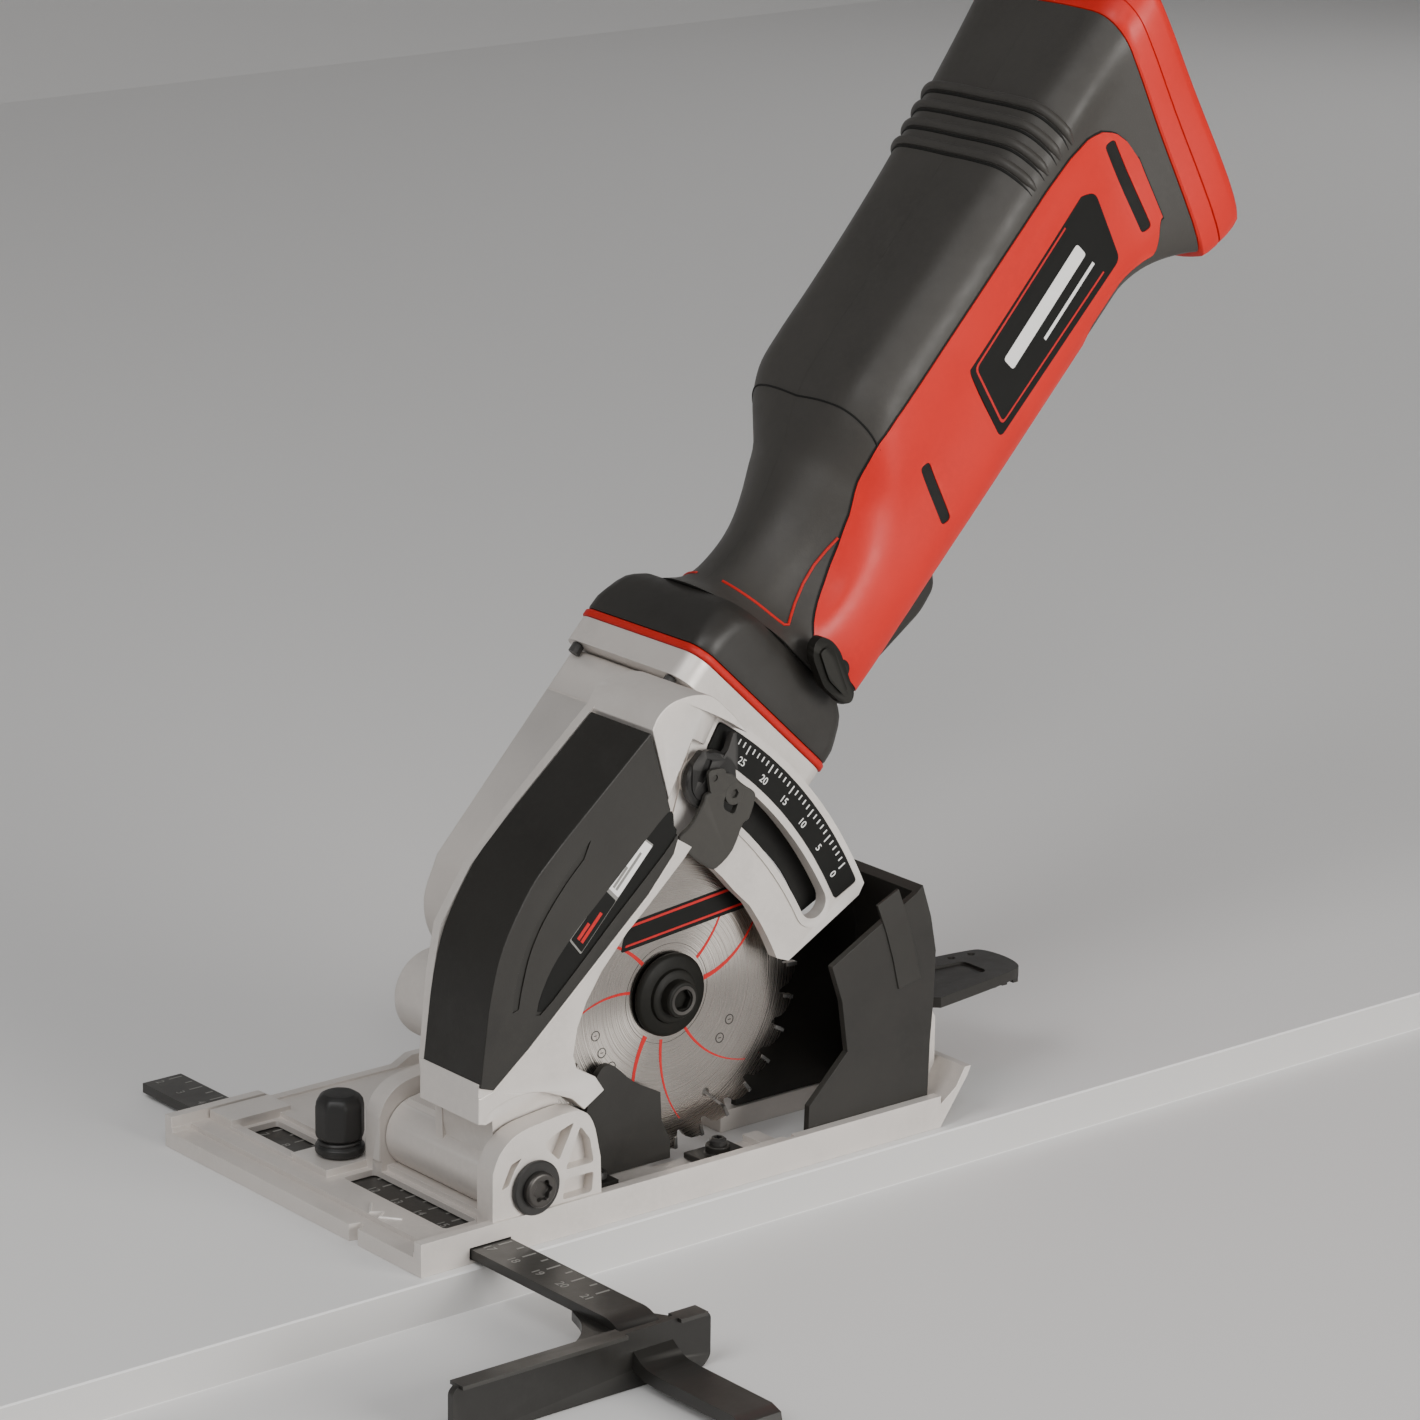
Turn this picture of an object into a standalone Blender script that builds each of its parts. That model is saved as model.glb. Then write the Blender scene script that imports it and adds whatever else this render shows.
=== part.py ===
"""Battery plunge saw with an 89 mm blade, built as separate named pieces.

Lengths are millimetres and MM turns them into metres. X runs along the base plate from its front
edge to the handle end, Y runs across it from the blade side to the far side, and Z is up from the
sole. The handle leans back: t is the distance from the blade spindle up the motor shaft, and m is
the distance across that shaft in the X-Z plane, positive towards the underside of the handle.
"""
import math

import bmesh
import bpy
from mathutils import Matrix, Vector

MM = 0.001
GAP = 0.3

# base plate
BASE_L = 174.0
BASE_W = 115.5
FLOOR_T = 6.0
RIM_H = 9.0
RIM_T = 3.0
TAIL_X = 184.6
TAIL_H = 15.6
TAIL_W = 44.0
SKIN_T = 1.0

# plunge pivot, its axis runs along Y
PIVOT_X = 36.5
PIVOT_Z = 15.5
BARREL_R = 9.0
EAR_NEAR = (1.0, 7.7)
EAR_FAR = (52.5, 58.5)

# blade and spindle, the axis runs along Y
SPINDLE_X = 93.7
SPINDLE_Z = 50.3
BLADE_R = 44.5
BLADE_Y = (19.1, 20.9)
BLADE_TEETH = 30
BORE_R = 5.0

# motor shaft
LEAN = math.radians(47.0)
SHAFT_Y = 74.0

# depth scale arc, centred on the plunge pivot
ARC_Y = (11.5, 15.0)
ARC_IN = 97.5
ARC_OUT = 130.0
SLOT_IN = 109.0
SLOT_OUT = 117.7
STOP_ANGLE = 57.0

# gear pair
CROWN_TEETH = 24
PINION_TEETH = 8
PINION_PHASE = 0.0

# parallel guide
BAR_X = (15.5, 28.0)
BAR_Z = (1.3, 4.0)
FENCE_Y = (-66.0, -64.0)

# the row's origin is the middle of the sole
ORIGIN = Vector((BASE_L / 2, BASE_W / 2, 0.0))

D = Vector((math.cos(LEAN), 0.0, math.sin(LEAN)))
M = Vector((math.sin(LEAN), 0.0, -math.cos(LEAN)))


def rad(degrees):
    return math.radians(degrees)


def shaft(t, m, y):
    """A point given along and across the motor shaft."""
    return Vector((SPINDLE_X, 0, SPINDLE_Z)) + D * t + M * m + Vector((0, y, 0))


def polar(r, a, cx=PIVOT_X, cz=PIVOT_Z):
    return (cx + r * math.cos(rad(a)), cz + r * math.sin(rad(a)))


def clear_scene():
    for obj in list(bpy.data.objects):
        bpy.data.objects.remove(obj, do_unlink=True)


def material(name, rgb, metallic=0.0, roughness=0.5):
    mat = bpy.data.materials.get(name)
    if mat:
        return mat
    mat = bpy.data.materials.new(name)
    mat.use_nodes = True
    shader = mat.node_tree.nodes["Principled BSDF"]
    shader.inputs["Base Color"].default_value = (rgb[0], rgb[1], rgb[2], 1.0)
    shader.inputs["Metallic"].default_value = metallic
    shader.inputs["Roughness"].default_value = roughness
    return mat


def mesh_object(name, verts, faces, colour=None):
    mesh = bpy.data.meshes.new(name)
    mesh.from_pydata([tuple((Vector(v) - ORIGIN) * MM) for v in verts], [], faces)
    bm = bmesh.new()
    bm.from_mesh(mesh)
    bmesh.ops.recalc_face_normals(bm, faces=bm.faces)
    bm.to_mesh(mesh)
    bm.free()
    obj = bpy.data.objects.new(name, mesh)
    bpy.context.scene.collection.objects.link(obj)
    if colour:
        obj.data.materials.append(material(name, *colour))
    return obj


def loft(name, rings, colour=None, closed=False):
    """A solid through rings of equally many points, capped at both ends unless closed."""
    n = len(rings[0])
    verts = [p for ring in rings for p in ring]
    faces = []
    count = len(rings)
    for i in range(count if closed else count - 1):
        a = i * n
        b = ((i + 1) % count) * n
        for k in range(n):
            faces.append((a + k, a + (k + 1) % n, b + (k + 1) % n, b + k))
    if not closed:
        faces.append(tuple(range(n)))
        faces.append(tuple(range((count - 1) * n, count * n)))
    return mesh_object(name, verts, faces, colour)


def prism_y(name, outline, y0, y1, colour=None):
    """An X-Z outline pushed along Y."""
    return loft(name, [[(x, y, z) for x, z in outline] for y in (y0, y1)], colour)


def prism_z(name, outline, z0, z1, colour=None):
    return loft(name, [[(x, y, z) for x, y in outline] for z in (z0, z1)], colour)


def prism_x(name, outline, x0, x1, colour=None):
    return loft(name, [[(x, y, z) for y, z in outline] for x in (x0, x1)], colour)


def prism_tm(name, outline, y0, y1, colour=None):
    """An outline in (t, m) pushed along Y."""
    return loft(name, [[shaft(t, m, y) for t, m in outline] for y in (y0, y1)], colour)


def box(name, x, y, z, colour=None):
    return prism_z(name, [(x[0], y[0]), (x[1], y[0]), (x[1], y[1]), (x[0], y[1])], z[0], z[1], colour)


def turned(name, profile, place, segments=24, colour=None):
    """A (radius, height) profile turned about an axis and capped at its first and last height."""
    rings = []
    for r, h in profile:
        ring = []
        for k in range(segments):
            a = 2 * math.pi * k / segments
            ring.append(place(r * math.cos(a), r * math.sin(a), h))
        rings.append(ring)
    return loft(name, rings, colour)


def hollow(name, profile, place, segments=24, colour=None):
    """A closed (radius, height) profile that stays off the axis, swept all the way round it."""
    rings = []
    for k in range(segments):
        a = 2 * math.pi * k / segments
        rings.append([place(r * math.cos(a), r * math.sin(a), h) for r, h in profile])
    return loft(name, rings, colour, closed=True)


def about_y(cx, cz):
    return lambda u, v, h: Vector((cx + u, h, cz + v))


def about_z(cx, cy):
    return lambda u, v, h: Vector((cx + u, cy + v, h))


def about_shaft(u, v, h):
    return shaft(h, u, SHAFT_Y + v)


def rod(name, r, h0, h1, place, segments=24, colour=None):
    return turned(name, [(r, h0), (r, h1)], place, segments, colour)


def pipe(name, r0, r1, h0, h1, place, segments=24, colour=None):
    """A tube of inner radius r0 and outer radius r1."""
    return hollow(name, [(r0, h0), (r1, h0), (r1, h1), (r0, h1)], place, segments, colour)


def boolean(target, tool, operation):
    mod = target.modifiers.new("shape", "BOOLEAN")
    mod.operation = operation
    mod.solver = "EXACT"
    mod.object = tool
    bpy.context.view_layer.update()
    graph = bpy.context.evaluated_depsgraph_get()
    result = bpy.data.meshes.new_from_object(target.evaluated_get(graph))
    target.modifiers.clear()
    old = target.data
    result.name = old.name
    target.data = result
    bpy.data.meshes.remove(old)
    bpy.data.objects.remove(tool, do_unlink=True)
    return target


def cut(target, *tools):
    for tool in tools:
        boolean(target, tool, "DIFFERENCE")
    return target


def join(target, *tools):
    for tool in tools:
        boolean(target, tool, "UNION")
    return target


def at_axis(obj, x, y, z):
    """Put the object's origin on its joint axis without moving the solid."""
    point = (Vector((x, y, z)) - ORIGIN) * MM
    obj.data.transform(Matrix.Translation(-point))
    obj.location = point
    return obj


ALLOY = ((0.58, 0.57, 0.55), 0.6, 0.42)
STEEL = ((0.55, 0.55, 0.54), 1.0, 0.3)
BLACK = ((0.035, 0.034, 0.032), 0.0, 0.55)
DARK = ((0.09, 0.088, 0.083), 0.0, 0.65)
RED = ((0.72, 0.05, 0.03), 0.0, 0.4)
COPPER = ((0.7, 0.33, 0.16), 1.0, 0.4)
GREEN = ((0.03, 0.16, 0.07), 0.0, 0.5)


# ------------------------------------------------------------------ base
def ear_outline(r):
    x, z = PIVOT_X, PIVOT_Z
    return [(x - 0.66 * r, 5.5), (x - 0.64 * r, z + 0.02 * r), (x - 0.42 * r, z + 0.42 * r),
            (x + 0.07 * r, z + 0.68 * r), (x + 0.58 * r, z + 0.8 * r), (x + 0.82 * r, z + 0.55 * r),
            (x + 0.97 * r, z + 0.1 * r), (x + 0.97 * r, 5.5)]


def build_base():
    base = box("base_plate", (0, BASE_L), (0, BASE_W), (0, FLOOR_T), ALLOY)
    join(base, box("a", (0, BASE_L), (0, RIM_T), (3, RIM_H)))
    join(base, box("a", (0, BASE_L), (BASE_W - RIM_T, BASE_W), (3, RIM_H)))
    tail = [(BASE_L - 4, 0.5), (BASE_L, 0), (TAIL_X - 1.2, TAIL_H - 2.6), (TAIL_X, TAIL_H),
            (TAIL_X - 2.2, TAIL_H), (TAIL_X - 5.2, TAIL_H - 5), (BASE_L - 1.0, FLOOR_T), (BASE_L - 4, FLOOR_T)]
    join(base, prism_y("a", tail, 0, TAIL_W))
    # raised pad that the guide clamp screws through
    join(base, box("a", (12, 31), (58, 74), (5, 8)))
    join(base, prism_y("a", ear_outline(22.0), *EAR_NEAR))
    join(base, prism_y("a", ear_outline(19.5), *EAR_FAR))
    # post for the release lever at the tail
    for y0 in (11.5, 33.5):
        join(base, prism_y("a", [(176, 7), (181.5, 12), (181.5, 27), (179.5, 30.2), (175.5, 30.2), (173.6, 27),
                                 (173.6, 5)], y0, y0 + 3.0))
    # channel for the guide bar, windows over it, screw hole in the pad
    cut(base, box("c", (BAR_X[0] - GAP, BAR_X[1] + GAP), (-2, BASE_W + 2), (SKIN_T, BAR_Z[1] + GAP)))
    cut(base, box("c", (BAR_X[0], BAR_X[1] - 2), (11, 55), (3, 9)))
    cut(base, box("c", (BAR_X[0], BAR_X[1] - 2), (76, 100), (3, 9)))
    cut(base, rod("c", 3.3, 2, 12, about_z(22, 66), 16))
    # blade opening, the wider opening for the depth arc, and the well for the gearcase
    cut(base, box("c", (60, 124), (16.5, 47), (-1, 9)))
    cut(base, box("c", (123, 168), (5.4, 33), (-1, 9)))
    cut(base, box("c", (80, 166), (41, 100.5), (SKIN_T, 9)))
    # sight notch in the front edge, pivot holes
    cut(base, box("c", (-1, 3), (27, 31.5), (-1, 9)))
    cut(base, rod("c", 3.0 + GAP, -1, 60, about_y(PIVOT_X, PIVOT_Z), 16))
    # lightening pockets in the near ear, either side of a rib
    cut(base, prism_y("c", [(45.5, 10), (55, 10), (55, 15.5), (45.8, 15.5)], 0, 4.5))
    cut(base, prism_y("c", [(46, 18), (54.6, 18), (53, 25), (49, 29.5), (43, 25.5)], 0, 4.5))
    # holes for the guard screws and the lever pin
    cut(base, rod("c", 1.5, 1.5, 9, about_z(64.5, 11), 10))
    cut(base, rod("c", 1.5, 1.5, 9, about_z(168, 39.2), 10))
    cut(base, rod("c", 1.3, 11, 37, about_y(177.5, 26.2), 10))
    return base


def build_pivot():
    c = about_y(PIVOT_X, PIVOT_Z)
    turned("pivot_bolt", [(2.3, -1.1), (2.5, -2.5), (4.6, -2.5), (4.6, -0.4), (3.0, -0.4), (3.0, 63.4)],
           c, 16, STEEL)
    hollow("pivot_washer", [(3.0 + GAP, -0.1), (6.2, -0.1), (6.2, EAR_NEAR[0] - GAP), (3.0 + GAP, EAR_NEAR[0] - GAP)],
           c, 20, BLACK)
    rings = []
    for k in range(12):
        a = 2 * math.pi * k / 12
        outer = 5.0 if k % 2 == 0 else 5.0 * math.cos(math.pi / 6)
        ring = []
        for r, y in ((3.0 + GAP, EAR_FAR[1] + GAP), (outer, EAR_FAR[1] + GAP), (outer, 62.4),
                     (3.0 + GAP, 62.4)):
            ring.append(c(r * math.cos(a), r * math.sin(a), y))
        rings.append(ring)
    loft("pivot_nut", rings, STEEL, closed=True)
    # coil spring that lifts the saw, wound round the pivot bolt
    rings = []
    turns = 6
    steps = 12 * turns
    for k in range(steps + 1):
        a = 2 * math.pi * k / 12
        y = 17 + 26.0 * k / steps
        ring = []
        for j in range(5):
            b = 2 * math.pi * j / 5
            r = 5.2 + 0.7 * math.cos(b)
            ring.append(c(r * math.cos(a), r * math.sin(a), y + 0.7 * math.sin(b)))
        rings.append(ring)
    loft("plunge_spring", rings, STEEL)


def build_guards():
    near = [(129.6, 6.3), (129.9, 15.1), (142.9, 27.7), (140.7, 42.3), (137, 52.7), (156.7, 62.9),
            (166.1, 67.4), (168.4, 69.4), (173.6, 50), (172.3, 24), (171.8, 6.3)]
    rear = prism_y("rear_guard", near, 3.2, 35.5, BLACK)
    room = [(120, 0), (120, 90), (140, 90), (162, 90), (166.2, 68), (171.3, 50), (170, 24), (169.5, 0)]
    cut(rear, prism_y("c", room, 5.2, 33.5))
    # the far wall is cut lower than the near one
    cut(rear, prism_y("c", [(120, 34), (132, 34), (158, 56), (164.5, 63), (160, 90), (120, 90)], 33, 36))
    foot = box("a", (164.6, 171.6), (34.0, 42.5), (6.3, 8.2))
    join(rear, foot)
    cut(rear, rod("c", 1.8, 5, 9, about_z(168, 39.2), 10))
    flap = prism_y("chip_guard", [(62, 6.3), (62, 20), (66, 33), (71, 37), (79, 30.5), (88, 25.5),
                                  (88.5, 17.6), (91.5, 11.5), (91.5, 6.3)], 14.3, 16.2, BLACK)
    join(flap, box("a", (61, 68.5), (7, 15.2), (6.3, 8.0)))
    cut(flap, rod("c", 1.8, 5, 9, about_z(64.5, 11), 10))
    return rear


def build_screw(name, x, y, z):
    """A pan-head screw standing on a flange whose top is at z."""
    turned(name, [(1.2, z - 5.5), (1.2, z + GAP), (2.6, z + GAP), (2.6, z + 1.6), (1.7, z + 2.4)],
           about_z(x, y), 10, STEEL)


def build_guide():
    x0, x1 = BAR_X
    side = [(150, BAR_Z[0]), (150, BAR_Z[1]), (-57, BAR_Z[1]), (-72, -4.6), (-104, -4.6), (-108, -6.2),
            (-108, -8), (-71, -8), (-57, BAR_Z[0])]
    guide = prism_x("parallel_guide", side, x0, x1, DARK)
    plate = [(-39, -9), (-37.5, -11), (38.5, -11), (40, -9), (40, 2.5), (38, 4), (-37, 4), (-39, 2.5)]
    join(guide, prism_y("a", plate, *FENCE_Y))
    # curved webs between the fence and the bar
    join(guide, prism_z("a", [(-28, -64.5), (-12, -63), (2, -59), (11, -52), (15.5, -42), (17, -42),
                              (17, -64.5)], -1, 1.5))
    join(guide, prism_z("a", [(26, -64.5), (26, -46), (28.2, -46), (30, -56), (37, -64.5)], -1, 1.5))
    return guide


def build_guide_clamp():
    c = about_z(22, 66)
    knob = turned("guide_knob", [(6.0, 8.4), (6.6, 9.2), (6.6, 11.0), (5.2, 12.0), (6.2, 13.2), (6.2, 22.5),
                                 (4.6, 25.0)], c, 12, BLACK)
    cut(knob, rod("c", 2.8, 7, 20.3, c, 12))
    rod("guide_clamp_screw", 2.5, 4.3, 20.0, c, 12, STEEL)
    at_axis(bpy.data.objects["guide_knob"], 22, 66, 8.4)
    at_axis(bpy.data.objects["guide_clamp_screw"], 22, 66, 8.4)


def build_release_lever():
    px, pz = 177.5, 26.2
    outline = [(180.5, 14.9), (183, 12.5), (214, 17.5), (219, 20), (220, 28), (219, 36), (184, 41.5),
               (181.5, 33.1), (180.5, 33.1)]
    lever = prism_z("release_lever", [(x, y - 1.5) for x, y in outline], 29.2, 32.2, BLACK)
    barrel = rod("a", 2.9, 14.8, 33.2, about_y(px, pz), 14)
    join(lever, barrel)
    join(lever, prism_y("a", [(px - 0.5, pz + 2.2), (px + 2.4, pz), (184, 29.4), (184, 31), (179.5, 32.2),
                              (177.5, 30.5)], 15.0, 31.6))
    for x in (207, 211, 215):
        join(lever, box("a", (x, x + 1.8), (19, 32), (27.9, 29.6)))
    cut(lever, rod("c", 1.35, 10, 40, about_y(px, pz), 10))
    at_axis(lever, px, 24, pz)
    rod("release_pin", 1.0, 11.0, 37.0, about_y(px, pz), 10, STEEL)


# ------------------------------------------------------------------ arm
COVER = [(76.2, 127.9), (85.6, 98.0), (84.2, 94.2), (76.1, 85.0), (60.0, 70.8), (37.6, 51.4), (26.5, 42.6),
         (23.6, 44.0), (25.9, 67.1), (28.4, 79.8), (37.8, 93.8), (53.5, 108.7)]
CROWN_TOP = [(76.8, 128.6), (80.0, 133.6), (84.2, 135.9), (88.8, 135.8), (97.0, 132.8), (105.2, 126.4)]


def arc_points(r, a0, a1, n):
    return [polar(r, a0 + (a1 - a0) * k / (n - 1)) for k in range(n)]


def sector(r0, r1, a0, a1, n):
    return arc_points(r1, a0, a1, n) + arc_points(r0, a1, a0, n)


def build_guard_casting():
    # wall on the blade side: strip beside the cover and the crown above it
    near = CROWN_TOP + [(104, 121), (98, 106), (93.5, 92), (92.8, 88.1), (73.2, 75.9), (57.1, 63.0), (53.9, 60.2),
                        (53.3, 54.4), (52.4, 46), (53.6, 42.4), (59.6, 38.8), (62.5, 34.5), (56.0, 30.6),
                        (52.0, 34.4)]
    near += [polar(23.6, a) for a in (70, 90, 108, 122)]
    near += [(22.4, 35.5), (23.9, 41.0), (26.7, 42.2), (37.9, 51.0), (60.3, 70.4), (76.4, 84.6), (84.6, 93.9),
             (86.0, 98.0)]
    casting = prism_y("guard_casting", near, 5.6, 13.5, ALLOY)
    # block joining the blade side wall to the wall behind the blade
    block = CROWN_TOP + [(112, 118.5), (112.5, 107), (106, 97.5), (94, 97.0), (86.4, 98.6)]
    join(casting, prism_y("a", block, 6.6, 31.0))
    # room for the depth stop in front of the arc
    cut(casting, prism_y("c", sector(88.0, 125.0, 18, 69.0, 10), 0, ARC_Y[0] + 0.7))
    cut(casting, prism_y("c", sector(110.0, 127.6, 18, 63.0, 10), 0, ARC_Y[0] + 0.4))
    ends = arc_points(ARC_OUT, 27.0, 62.0, 9) + arc_points(ARC_IN, 57.0, 24.5, 8)
    join(casting, prism_y("a", [polar(99.0, 22.6)] + [polar(127.5, 25.4)] + ends, *ARC_Y))
    back = [(23.6, 44.0), (25.9, 67.1), (28.4, 79.8), (37.8, 93.8), (53.5, 108.7), (76.5, 128.2)]
    back += CROWN_TOP[1:] + [(112, 118.5), (112.5, 107), (108, 92), (105, 76), (107.5, 62), (108.0, 50.3),
                             (105.8, 43.0), (100.7, 38.1), (93.7, 36.2), (86, 36.4), (72, 31.5), (58, 28.6),
                             (50, 26.0), (44.5, 20.0), (40, 8.0), (30, 10.5), (27.6, 18.0), (24.2, 30.0)]
    join(casting, prism_y("a", back, 30.0, 33.0))
    # web and boss that carry the gearcase
    join(casting, rod("a", 14.0, 32.0, 47.7, about_y(SPINDLE_X, SPINDLE_Z), 20))
    join(casting, prism_tm("a", [(44, -27), (66, -27), (64, -42), (44, -46)], 31.0, 47.7))
    # pivot end: hub barrel and the beam under the cover
    beam = [(27.9, 17.5), (24.6, 30.0), (24.2, 41.4), (27.0, 42.5), (36.0, 49.0), (50.0, 45.5), (51.5, 38.0),
            (46.0, 23.0), (44.0, 16.0), (36.5, 14.0)]
    join(casting, prism_y("a", beam, 8.4, 32.0))
    far_beam = [(27.9, 17.5), (24.6, 30.0), (24.2, 41.4), (27.0, 42.5), (40.0, 46.0), (43.5, 38.0), (44.0, 30.0),
                (44.0, 16.0), (36.5, 14.0)]
    join(casting, prism_y("a", far_beam, 31.0, 50.5))
    join(casting, rod("a", BARREL_R, 8.0, 52.2, about_y(PIVOT_X, PIVOT_Z), 20))
    # keep the blade free inside the beam and the block
    cut(casting, rod("c", BLADE_R + 1.6, 17.0, 24.2, about_y(SPINDLE_X, SPINDLE_Z), 40))
    cut(casting, prism_y("c", sector(SLOT_IN, SLOT_OUT, 29.5, 63.2, 9), 8, 18))
    # slot ends are rounded and the passage behind the slot lets the clamp nut travel
    cut(casting, prism_y("c", sector(104.6, 122.0, 22.0, 67.0, 9), ARC_Y[1], 18.4))
    cut(casting, turned("c", [(6.9, 15.0), (6.9, 45.5)], about_y(PIVOT_X, PIVOT_Z), 16))
    cut(casting, rod("c", 3.0 + GAP, 0, 60, about_y(PIVOT_X, PIVOT_Z), 16))
    cut(casting, rod("c", 6.3, 20, 60, about_y(SPINDLE_X, SPINDLE_Z), 16))
    # bearing seat in the boss, dust outlet in the wall behind the blade
    cut(casting, rod("c", 9.3, 40.4, 60, about_y(SPINDLE_X, SPINDLE_Z), 20))
    cut(casting, rod("c", 9.0, 26, 36, about_y(57.6, 43.5), 16))
    return casting


def build_cover():
    cover = prism_y("blade_cover", COVER, 5.0, 29.7, BLACK)
    room = [(75.0, 123.6), (92, 103), (92, 90), (78, 79), (28.0, 38.0), (26.3, 46.5), (28.5, 66.5),
            (30.9, 79.0), (39.7, 92.1), (55.2, 106.6)]
    cut(cover, prism_y("c", room, 7.5, 32))
    # shallow field on the outer face
    field = [(76.0, 112.5), (82.2, 97.5), (74.5, 88.2), (58.5, 74.0), (43.0, 60.5), (44.5, 70.0), (49.5, 80.0),
             (58.5, 92.0)]
    cut(cover, prism_y("c", field, 4, 5.8))
    return cover


def build_scale():
    strip = arc_points(127.0, 27.6, 62.0, 10) + arc_points(119.2, 62.0, 27.6, 10)
    return prism_y("depth_scale", strip, ARC_Y[0] - GAP - 0.5, ARC_Y[0] - GAP, BLACK)


def build_dust_port():
    c = about_y(57.6, 43.5)
    return hollow("dust_port", [(10.2, 33.3), (12.3, 33.3), (12.3, 73.0), (11.6, 75.0), (10.6, 75.0)], c, 20,
                     ALLOY)


GEARCASE = [(72.7, -27), (4, -27), (-8, -22), (-14.5, -12), (-15.2, 3), (-7, 13.1), (14, 14.0), (40, 23.5),
            (60, 27), (72.7, 27)]
GEARROOM = [(76, -24), (5, -24), (-6, -19.6), (-12, -11), (-12.8, 2), (-5.8, 11.8), (14.5, 12.4), (41, 20.6),
            (61, 24), (76, 24)]


def rounded(hm, hy, r, n=3, m0=0.0):
    """Corner-rounded rectangle in (m, y offset), n points to a corner."""
    points = []
    for sm, sy, a0 in ((1, 1, 0), (-1, 1, 90), (-1, -1, 180), (1, -1, 270)):
        for k in range(n):
            a = rad(a0 + 90.0 * k / (n - 1))
            points.append((m0 + sm * (hm - r) + r * math.cos(a), sy * (hy - r) + r * math.sin(a)))
    return points


def tube_tm(name, sections, colour=None):
    """A loft through (t, [(m, y offset)]) sections along the shaft."""
    return loft(name, [[shaft(t, m, SHAFT_Y + y) for m, y in ring] for t, ring in sections], colour)


def build_gearcase():
    case = prism_tm("gearcase", GEARCASE, 48.0, 99.0, ALLOY)
    cut(case, prism_tm("c", GEARROOM, 50.6, 96.4))
    hub = about_y(SPINDLE_X, SPINDLE_Z)
    join(case, rod("a", 11.0, 88.5, 97.0, hub, 20))
    cut(case, rod("c", 5.0, 44, 90, hub, 16))
    cut(case, rod("c", 8.2, 86, 93.4, hub, 20))
    cut(case, rod("c", 6.3, 44, 52, hub, 16))
    # passage of the spindle lock pin
    place = lambda u, v, h: shaft(2.0 + u, h, 67.4 + v)
    cut(case, rod("c", 1.8, -30, -20, place, 12))
    return case


def build_head():
    flange = tube_tm("gear_flange", [(73.0, rounded(31, 26.5, 6)), (80.6, rounded(31, 26.5, 6))], ALLOY)
    cut(flange, rod("c", 8.2, 76.0, 90, about_shaft, 20))
    cut(flange, rod("c", 3.4, 70, 90, about_shaft, 16))
    for sy in (-1, 1):
        place = lambda u, v, h, sy=sy: shaft(h, -28.9 + u, SHAFT_Y + sy * 20.0 + v)
        cut(flange, rod("c", 1.2, 70, 78.5, place, 10))
        side = "near" if sy < 0 else "far"
        turned("flange_screw_" + side, [(1.7, 70.0), (1.7, 72.7), (0.9, 72.7), (0.9, 78.0)], place, 10, STEEL)
    gasket = tube_tm("gasket", [(80.9, rounded(31.3, 26.8, 6)), (82.9, rounded(31.3, 26.8, 6))], RED)
    cut(gasket, rod("c", 20.0, 78, 90, about_shaft, 20))
    collar = tube_tm("collar", [(83.2, rounded(31, 26.5, 6)), (87.0, rounded(31, 26.5, 6)),
                                (95.5, rounded(29.0, 25.6, 6)), (100.0, rounded(27.0, 25.0, 8))], BLACK)
    cut(collar, rod("c", 18.6, 80, 104, about_shaft, 20))
    return flange


# half outlines of the handle, from the top line round to the underside: (m, half width)
NECK = [(-1.0, 0.0), (-0.93, 0.38), (-0.72, 0.7), (-0.4, 0.93)]
GRIP = [(-32.0, 0.0), (-32.0, 12.0), (-30.6, 20.7), (-24.2, 27.2), (-14.5, 28.0), (0.0, 27.2), (20.3, 27.0),
        (26.6, 20.3), (28.2, 0.0)]
SEAT = [(-36.0, 0.0), (-36.0, 14.0), (-34.8, 25.2), (-28.8, 30.8), (-19.0, 31.6), (0.0, 31.2), (33.0, 31.0),
        (39.0, 24.6), (40.4, 0.0)]
RIM = [(-37.6, 0.0), (-37.6, 15.0), (-36.3, 26.2), (-30.5, 32.0), (-20.0, 33.2), (0.0, 33.0), (36.4, 33.0),
       (44.4, 26.2), (46.0, 0.0)]


def mixed(a, b, k):
    return [(p[0] + (q[0] - p[0]) * k, p[1] + (q[1] - p[1]) * k) for p, q in zip(a, b)]


def grip_half(k, r, w=28.0):
    """Half outline: k = 0 is the round neck of radius r, k = 1 is the full grip."""
    neck = [(a * r, b * r) for a, b in NECK] + [(-0.1 * r, min(w, r + 3.5)), (5.0, w)] + \
        [(m, min(y, w)) for m, y in GRIP[6:]]
    return mixed(neck, GRIP, k)


def flared_half(u):
    """Half outline between the full grip, u = 0, and the battery seat, u = 1."""
    top = u * u
    side = max(0.0, (u - 0.78) / 0.22) ** 1.3
    low = max(0.0, (u - 0.63) / 0.37) ** 1.6
    made = []
    for i, (p, q) in enumerate(zip(GRIP, SEAT)):
        across = top if i <= 4 else low
        wide = top if i <= 3 else (side if i <= 6 else low)
        made.append((p[0] + (q[0] - p[0]) * across, p[1] + (q[1] - p[1]) * wide))
    return made


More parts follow.
